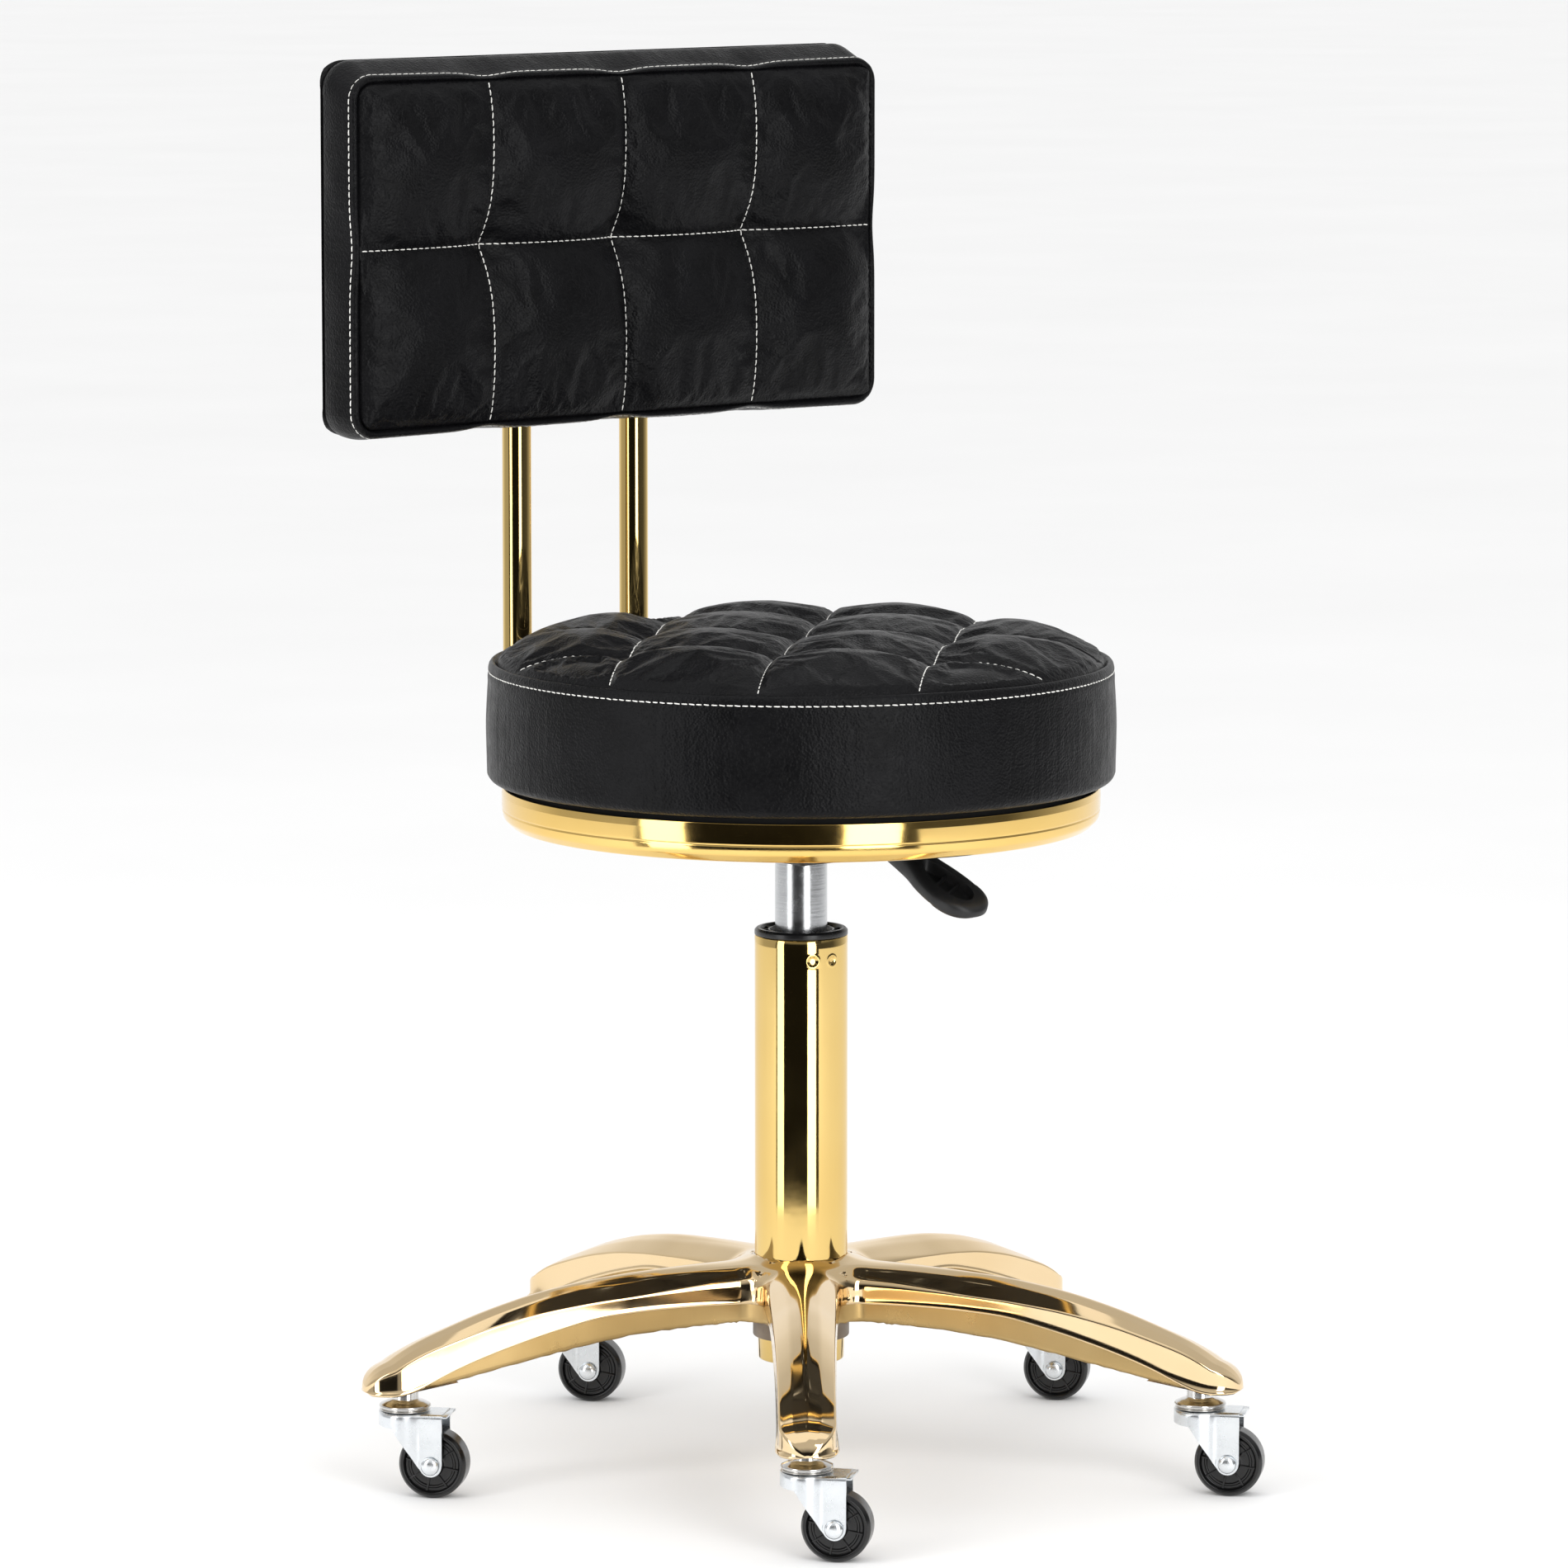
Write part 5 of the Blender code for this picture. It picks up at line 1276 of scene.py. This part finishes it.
    # padded rear panel over its board
    n, m = 121, 67
    a, b, R = BACK_W / 2 - 0.0006, (BACK_HIGH - BACK_LOW) / 2 - 0.0006, BACK_CORNER
    gx, gz = np.linspace(-a, a, n), np.linspace(-b, b, m)
    X, Z = np.meshgrid(gx, gz, indexing="ij")
    x, z = X.ravel().copy(), Z.ravel().copy()
    i = np.clip((np.abs(x) - (a - R)) / R, 0, 1)
    j = np.clip((np.abs(z) - (b - R)) / R, 0, 1)
    inside = (i > 0) & (j > 0)
    x = np.where(inside, np.sign(x) * ((a - R) + R * i * np.sqrt(1 - j ** 2 / 2)), x)
    z = np.where(inside, np.sign(z) * ((b - R) + R * j * np.sqrt(1 - i ** 2 / 2)), z)
    faces, loop = square_grid(n, m)
    rim = np.clip(np.minimum(a - np.abs(x), b - np.abs(z)), 0, None)
    edge = dome(rim, 0.010, 2.0, 0.5)
    # held flat where the posts bear on it
    held = sum(np.exp(-((np.abs(x) - POST_X) / 0.012) ** 4) * (z < POST_TOP - BACK_MID + 0.004) for _ in (0,))
    puff = 0.0022 * dome(rim, 0.050, 2.0, 0.8) * (1 - 0.75 * held)
    zz = 0.0006 + 0.0028 * edge + puff
    panel = np.stack([x, z, zz], axis=1)
    px, pz = x[loop], z[loop]
    ox = np.sign(px) * np.clip(np.abs(px) - (a - R), 0, None)
    oz = np.sign(pz) * np.clip(np.abs(pz) - (b - R), 0, None)
    length = np.maximum(np.hypot(ox, oz), 1e-9)
    out = np.stack([ox / length, oz / length], axis=1)
    rows = [(-0.0006, 0.0002), (-0.0020, 0.0)]
    closing = [(0.6, 0.0), (0.2, 0.0)]
    place = Matrix.Translation((AXIS[0], AXIS[1] + 0.1803, BACK_MID)) @ Matrix.Rotation(math.pi, 4, "Z") @ Matrix.Rotation(math.radians(90), 4, "X")
    ob = build_cushion("backrest_rear_panel", panel, faces, loop, out, rows, closing, place, ["leather", "boxing", "under_cloth"])
    done(ob, "seat", "leatherette", "backrest_panel")


def add_face_run(bm, tree, place, points):
    path, nrm = [], []
    front = place.to_3x3() @ Vector((0, 0, 1))
    for px, pz in points:
        hit, normal, _, _ = tree.ray_cast(place @ Vector((px, pz, 0.05)), -front)
        if hit is not None:
            path.append(hit)
            nrm.append(normal.lerp(front, 0.7))
    stitch_run(bm, path, nrm)


# ----------------------------------------------------------------------------------- posts
def make_posts():
    for side, label in ((-1, "right"), (1, "left")):
        pts = [(0, 0.0620, POST_LEG_Z)]
        cy, cz = POST_Y - POST_BEND, POST_LEG_Z + POST_BEND
        pts += [(0, cy + POST_BEND * math.cos(math.radians(a)), cz + POST_BEND * math.sin(math.radians(a)))
                for a in np.linspace(-90, 0, 25)]
        pts += [(0, POST_Y, z) for z in (0.45, 0.55, POST_TOP)]
        bm = bmesh.new()
        sweep_into(bm, pts, POST_R, POST_R - 0.0015, 48)
        ob = to_object(bm, f"gold_post_{label}", "gold", 45.0, at(side * POST_X, 0, 0))
        done(ob, "seat", "gold", f"post_{label}")
        for j, z in enumerate((0.6000, 0.6800)):
            y = POST_Y + POST_R + GAP
            b = bmesh.new()
            turn_into(b, rounded_path([(0.0, y + 0.0036), (0.0026, y + 0.0036, 0.0006), (0.0046, y + 0.0022, 0.0012), (0.0056, y, 0.0002),
                                       (0.0026, y), (0.0026, 0.1745, 0.0004), (0.0, 0.1745)], 4), 48, TO_Y, False)
            bolt = to_object(b, f"post_bolt_fine_{label}_{j + 1}", "chrome", 38.0)
            b = bmesh.new()
            turn_into(b, [(0.0, y + 0.006), (0.0019, y + 0.006), (0.0019, y + 0.0012), (0.0, y + 0.0012)], 6, TO_Y, False)
            cut(bolt, [to_object(b, "hex", "chrome")], angle=30.0)
            bolt.matrix_world = at(side * POST_X, 0, z)
            done(bolt, "seat", "zinc", f"post_bolt_{label}_{j + 1}")


# ----------------------------------------------------------------------------------- lever
def make_lever():
    start, knee = 0.0060, -0.0620
    pts = [(0, start, ROD_Z), (0, -0.0300, ROD_Z), (0, knee + 0.003, ROD_Z), (0, knee - 0.001, ROD_Z - 0.0003), (0, knee - 0.0045, ROD_Z - 0.0011),
           (0, knee - 0.0080, ROD_Z - 0.0024), (0, knee - 0.0120, ROD_Z - 0.0041), (0, -0.1000, ROD_Z - 0.0150)]
    bm = bmesh.new()
    sweep_into(bm, pts, LEVER_R, None, 32)
    rod = to_object(bm, "lever_rod_bent", "steel", 40.0, at(0, 0, 0))
    done(rod, node_body("lever_rod", "lever"), "bright_steel", "lever_rod")
    pin = lathe("lever_pivot_pin", [(0.0, 0.0352), (0.0016, 0.0352, 0.0003), (0.0016, -0.0338), (0.0034, -0.0338, 0.0004), (0.0034, -0.0358, 0.0006),
                                    (0.0, -0.0358)], "zinc", at(0, PIVOT_Y, ROD_Z) @ TO_X, 32, False)
    done(pin, node_body("lever_pivot", "seat"), "bright_steel", "lever_pivot")

    head = at(0, -0.0800, ROD_Z - 0.0072) @ Matrix.Rotation(math.radians(-90), 4, "Z") \
        @ Matrix.Rotation(math.radians(23.5), 4, "Y") @ Matrix.Rotation(math.radians(3.0), 4, "X")
    shape = np.array(((0.000, 0.0085, 0.0070), (0.010, 0.0090, 0.0070), (0.020, 0.0101, 0.0068), (0.032, 0.0138, 0.0062),
                      (0.0445, 0.0157, 0.0056), (0.0555, 0.0150, 0.0052), (0.064, 0.0107, 0.0046), (0.0690, 0.0046, 0.0036)))
    xs = list(np.linspace(0.0, 0.0480, 30)) + [0.0480 + 0.0212 * math.sin(math.pi / 2 * i / 18) for i in range(1, 19)]
    bm = bmesh.new()
    rings = []
    for x in xs:
        s = x + np.linspace(-0.004, 0.004, 7)
        w = float(np.mean(np.interp(s, shape[:, 0], shape[:, 1])))
        t = float(np.mean(np.interp(s, shape[:, 0], shape[:, 2])))
        if x > 0.0480:
            q = (x - 0.0480) / 0.0212
            w = 0.0153 * max(1 - q ** 2.4, 0.0) ** 0.5 + 0.0004
            t = 0.0055 * max(1 - q ** 3.2, 0.0) ** 0.5 + 0.0002
        ring = []
        for i in range(64):
            a = 2 * math.pi * i / 64
            c, sn = math.cos(a), math.sin(a)
            ring.append(bm.verts.new((x, math.copysign(abs(c) ** 0.62, c) * w, math.copysign(abs(sn) ** 0.62, sn) * t)))
        rings.append(ring)
    for p, q in zip(rings, rings[1:]):
        for i in range(64):
            bm.faces.new((p[i], p[(i + 1) % 64], q[(i + 1) % 64], q[i]))
    bm.faces.new(rings[0])
    bm.faces.new(rings[-1])
    paddle = to_object(bm, "lever_paddle", "plastic", 42.0)
    # oval pocket with two diagonal ribs, and a slot in the neck
    b = bmesh.new()
    rows = []
    for z, grow in ((0.0200, 0.0026), (0.0072, 0.0010), (0.0052, 0.0), (0.0012, -0.0008), (0.0004, -0.0016), (0.0002, -0.0030)):
        ring = []
        for i in range(56):
            a = 2 * math.pi * i / 56
            ring.append(b.verts.new((0.0425 + (0.0195 + grow) * math.cos(a),
                                     -0.0014 + (0.0098 + grow) * (0.80 + 0.20 * math.cos(a)) * math.copysign(abs(math.sin(a)) ** 0.9, math.sin(a)), z)))
        rows.append(ring)
    for p, q in zip(rows, rows[1:]):
        for i in range(56):
            b.faces.new((p[i], p[(i + 1) % 56], q[(i + 1) % 56], q[i]))
    b.faces.new(rows[0])
    b.faces.new(rows[-1])
    pocket = to_object(b, "pocket", "plastic")
    b = bmesh.new()
    rounded_box(b, (0.0110, 0.0165), (-0.0010, 0.0010), (0.0055, 0.0100), 0.0004, 2)
    slit = to_object(b, "slit", "plastic")
    cut(paddle, [pocket, slit], angle=42.0)
    b = bmesh.new()
    for cx in (0.0375, 0.0475):
        r = bmesh.new()
        rounded_box(r, (-0.0006, 0.0006), (-0.0108, 0.0108), (-0.0010, 0.0028), 0.0004, 2)
        r.transform(Matrix.Translation((cx, -0.0014, 0)) @ Matrix.Rotation(math.radians(28), 4, "Z"))
        tmp = bpy.data.meshes.new("rib")
        r.to_mesh(tmp)
        r.free()
        b.from_mesh(tmp)
        bpy.data.meshes.remove(tmp)
    b.transform(Matrix.Identity(4))
    cut(paddle, [to_object(b, "ribs", "plastic")], "UNION", 42.0)
    paddle.matrix_world = head
    done(paddle, node_body("lever_handle", "lever"), "black_plastic", "lever_handle")


# ------------------------------------------------------------------------- studio, camera
def make_studio():
    floor_mat = Finish("studio_floor", 0.0, 0.2)
    floor_mat.colour(floor_mat.ramp(floor_mat.noise(2.0, 3.0), [(0.3, (0.86, 0.86, 0.86)), (0.7, (0.88, 0.88, 0.88))]))
    floor_mat.rough(floor_mat.noise(20.0), 0.8, 0.9)
    centre = Vector((AXIS[0], AXIS[1], 0.0))
    for name, near in (("studio_floor", True), ("studio_floor_far", False)):
        bm = bmesh.new()
        for i in range(360):
            a0, a1 = 2 * math.pi * i / 360, 2 * math.pi * (i + 1) / 360
            mid = math.degrees((a0 + a1) / 2)
            rel = (mid - math.degrees(math.atan2(TO_CAM.y, TO_CAM.x)) + 180) % 360 - 180     # + is screen right
            edge = 0.80 if -64 < rel < 44 else 3.2
            r0, r1 = (0.0, edge) if near else (edge, 60.0)
            pts = [centre + Vector((r * math.cos(a), r * math.sin(a), 0)) for r, a in ((r0, a0), (r1, a0), (r1, a1), (r0, a1))]
            if near:
                pts = pts[:1] + pts[1:3]
            bm.faces.new([bm.verts.new(p) for p in pts])
        bmesh.ops.remove_doubles(bm, verts=bm.verts, dist=1e-5)
        mesh = bpy.data.meshes.new(name)
        bmesh.ops.recalc_face_normals(bm, faces=bm.faces)
        bm.to_mesh(mesh)
        bm.free()
        ob = bpy.data.objects.new(name, mesh)
        mesh.materials.append(floor_mat.m)
        scene.collection.objects.link(ob)
        if not near:
            ob.visible_glossy = False

    def panel(name, angle, distance, width, height, z, power):
        a = math.radians(angle)
        d = TO_CAM * math.cos(a) + RIGHT * math.sin(a)
        light = bpy.data.lights.new(name, "AREA")
        light.shape = "RECTANGLE"
        light.size, light.size_y = width, height
        light.energy = power
        ob = bpy.data.objects.new(name, light)
        scene.collection.objects.link(ob)
        ob.location = centre + d * distance + Vector((0, 0, z))
        ob.rotation_euler = (-d).to_track_quat("-Z", "Y").to_euler()
        ob.visible_camera = False
        return ob

    panel("left_softbox", -52, 1.7, 0.52, 2.7, 0.85, 14.0)
    panel("right_softbox", 26.5, 1.9, 0.70, 2.7, 0.85, 26.0)
    top = bpy.data.lights.new("overhead_softbox", "AREA")
    top.shape = "RECTANGLE"
    top.size, top.size_y = 2.4, 2.4
    top.energy = 9.0
    ob = bpy.data.objects.new("overhead_softbox", top)
    scene.collection.objects.link(ob)
    ob.location = centre + Vector((-0.3, 0.2, 2.6))
    ob.visible_camera = False

    world = bpy.data.worlds.new("studio")
    scene.world = world
    world.use_nodes = True
    nt = world.node_tree
    nt.nodes.clear()
    new = nt.nodes.new
    link = nt.links.new
    coord = new("ShaderNodeTexCoord").outputs["Generated"]
    split = new("ShaderNodeSeparateXYZ")
    link(coord, split.inputs[0])

    def dot(vec):
        n = new("ShaderNodeVectorMath")
        n.operation = "DOT_PRODUCT"
        n.inputs[1].default_value = vec
        link(coord, n.inputs[0])
        return n.outputs["Value"]

    def maths(op, a, b=None):
        n = new("ShaderNodeMath")
        n.operation = op
        for s, v in zip(n.inputs, (a, b)):
            if v is None:
                continue
            if isinstance(v, float):
                s.default_value = v
            else:
                link(v, s)
        return n.outputs[0]

    def ramp(fac, stops):
        n = new("ShaderNodeValToRGB")
        while len(n.color_ramp.elements) < len(stops):
            n.color_ramp.elements.new(0.5)
        for e, (p, c) in zip(n.color_ramp.elements, stops):
            e.position = p
            e.color = (c, c, c, 1)
        link(fac, n.inputs[0])
        return n.outputs[0]

    phi = maths("ARCTAN2", dot(tuple(RIGHT)), dot(tuple(TO_CAM)))
    turn = maths("ADD", maths("DIVIDE", phi, 2 * math.pi), 0.5)
    deg = lambda d: d / 360 + 0.5
    side = ramp(turn, [(0.0, 1.0), (deg(-135), 0.90), (deg(-105), 0.50), (deg(-68), 0.45), (deg(-63), 0.03), (deg(-41), 0.010),
                       (deg(14), 0.010), (deg(17), 0.30), (deg(36), 0.03), (deg(44), 0.06), (deg(85), 0.09), (deg(115), 0.40),
                       (deg(150), 0.95), (1.0, 1.0)])
    height = ramp(maths("ADD", maths("MULTIPLY", split.outputs["Z"], 0.5), 0.5),
                  [(0.0, 0.0), (0.62, 0.0), (0.80, 1.0), (1.0, 1.0)])
    mixn = new("ShaderNodeMix")
    mixn.data_type = "RGBA"
    link(height, mixn.inputs["Factor"])
    link(side, mixn.inputs["A"])
    mixn.inputs["B"].default_value = (0.60, 0.60, 0.60, 1)
    glossy = new("ShaderNodeBackground")
    link(mixn.outputs["Result"], glossy.inputs["Color"])
    glossy.inputs["Strength"].default_value = 1.0
    plain = new("ShaderNodeBackground")
    plain.inputs["Color"].default_value = (1.0, 1.0, 1.0, 1)
    plain.inputs["Strength"].default_value = 1.08
    path = new("ShaderNodeLightPath")
    mix = new("ShaderNodeMixShader")
    link(path.outputs["Is Glossy Ray"], mix.inputs[0])
    link(plain.outputs[0], mix.inputs[1])
    link(glossy.outputs[0], mix.inputs[2])
    out = new("ShaderNodeOutputWorld")
    link(mix.outputs[0], out.inputs[0])

    cam = bpy.data.cameras.new("camera")
    cam.lens = 187.97
    cam.sensor_width = 36.0
    cam.clip_end = 200.0
    ob = bpy.data.objects.new("camera", cam)
    scene.collection.objects.link(ob)
    ob.location = centre + TO_CAM * 4.34443 + Vector((0, 0, 0.94958))
    ahead = Matrix.Rotation(0.00212, 3, "Z") @ (-TO_CAM)
    ahead = ahead * math.cos(0.13211) + Vector((0, 0, -math.sin(0.13211)))
    ob.rotation_euler = ahead.to_track_quat("-Z", "Y").to_euler()
    scene.camera = ob
    scene.view_settings.view_transform = "Standard"
    scene.view_settings.look = "None"


# ------------------------------------------------------------------------------------ make
make_base()
make_casters()
make_column()
make_under_seat()
make_seat_cushion()
make_back_cushion()
make_posts()
make_lever()
make_studio()

KEEP = {"backrest_board": "wood", "seat_foam": "foam", "backrest_foam": "foam"}
for name, ob in nodes.items():
    mat = MAT[KEEP.get(name, "coated")]
    for slot in ob.material_slots:
        slot.material = mat
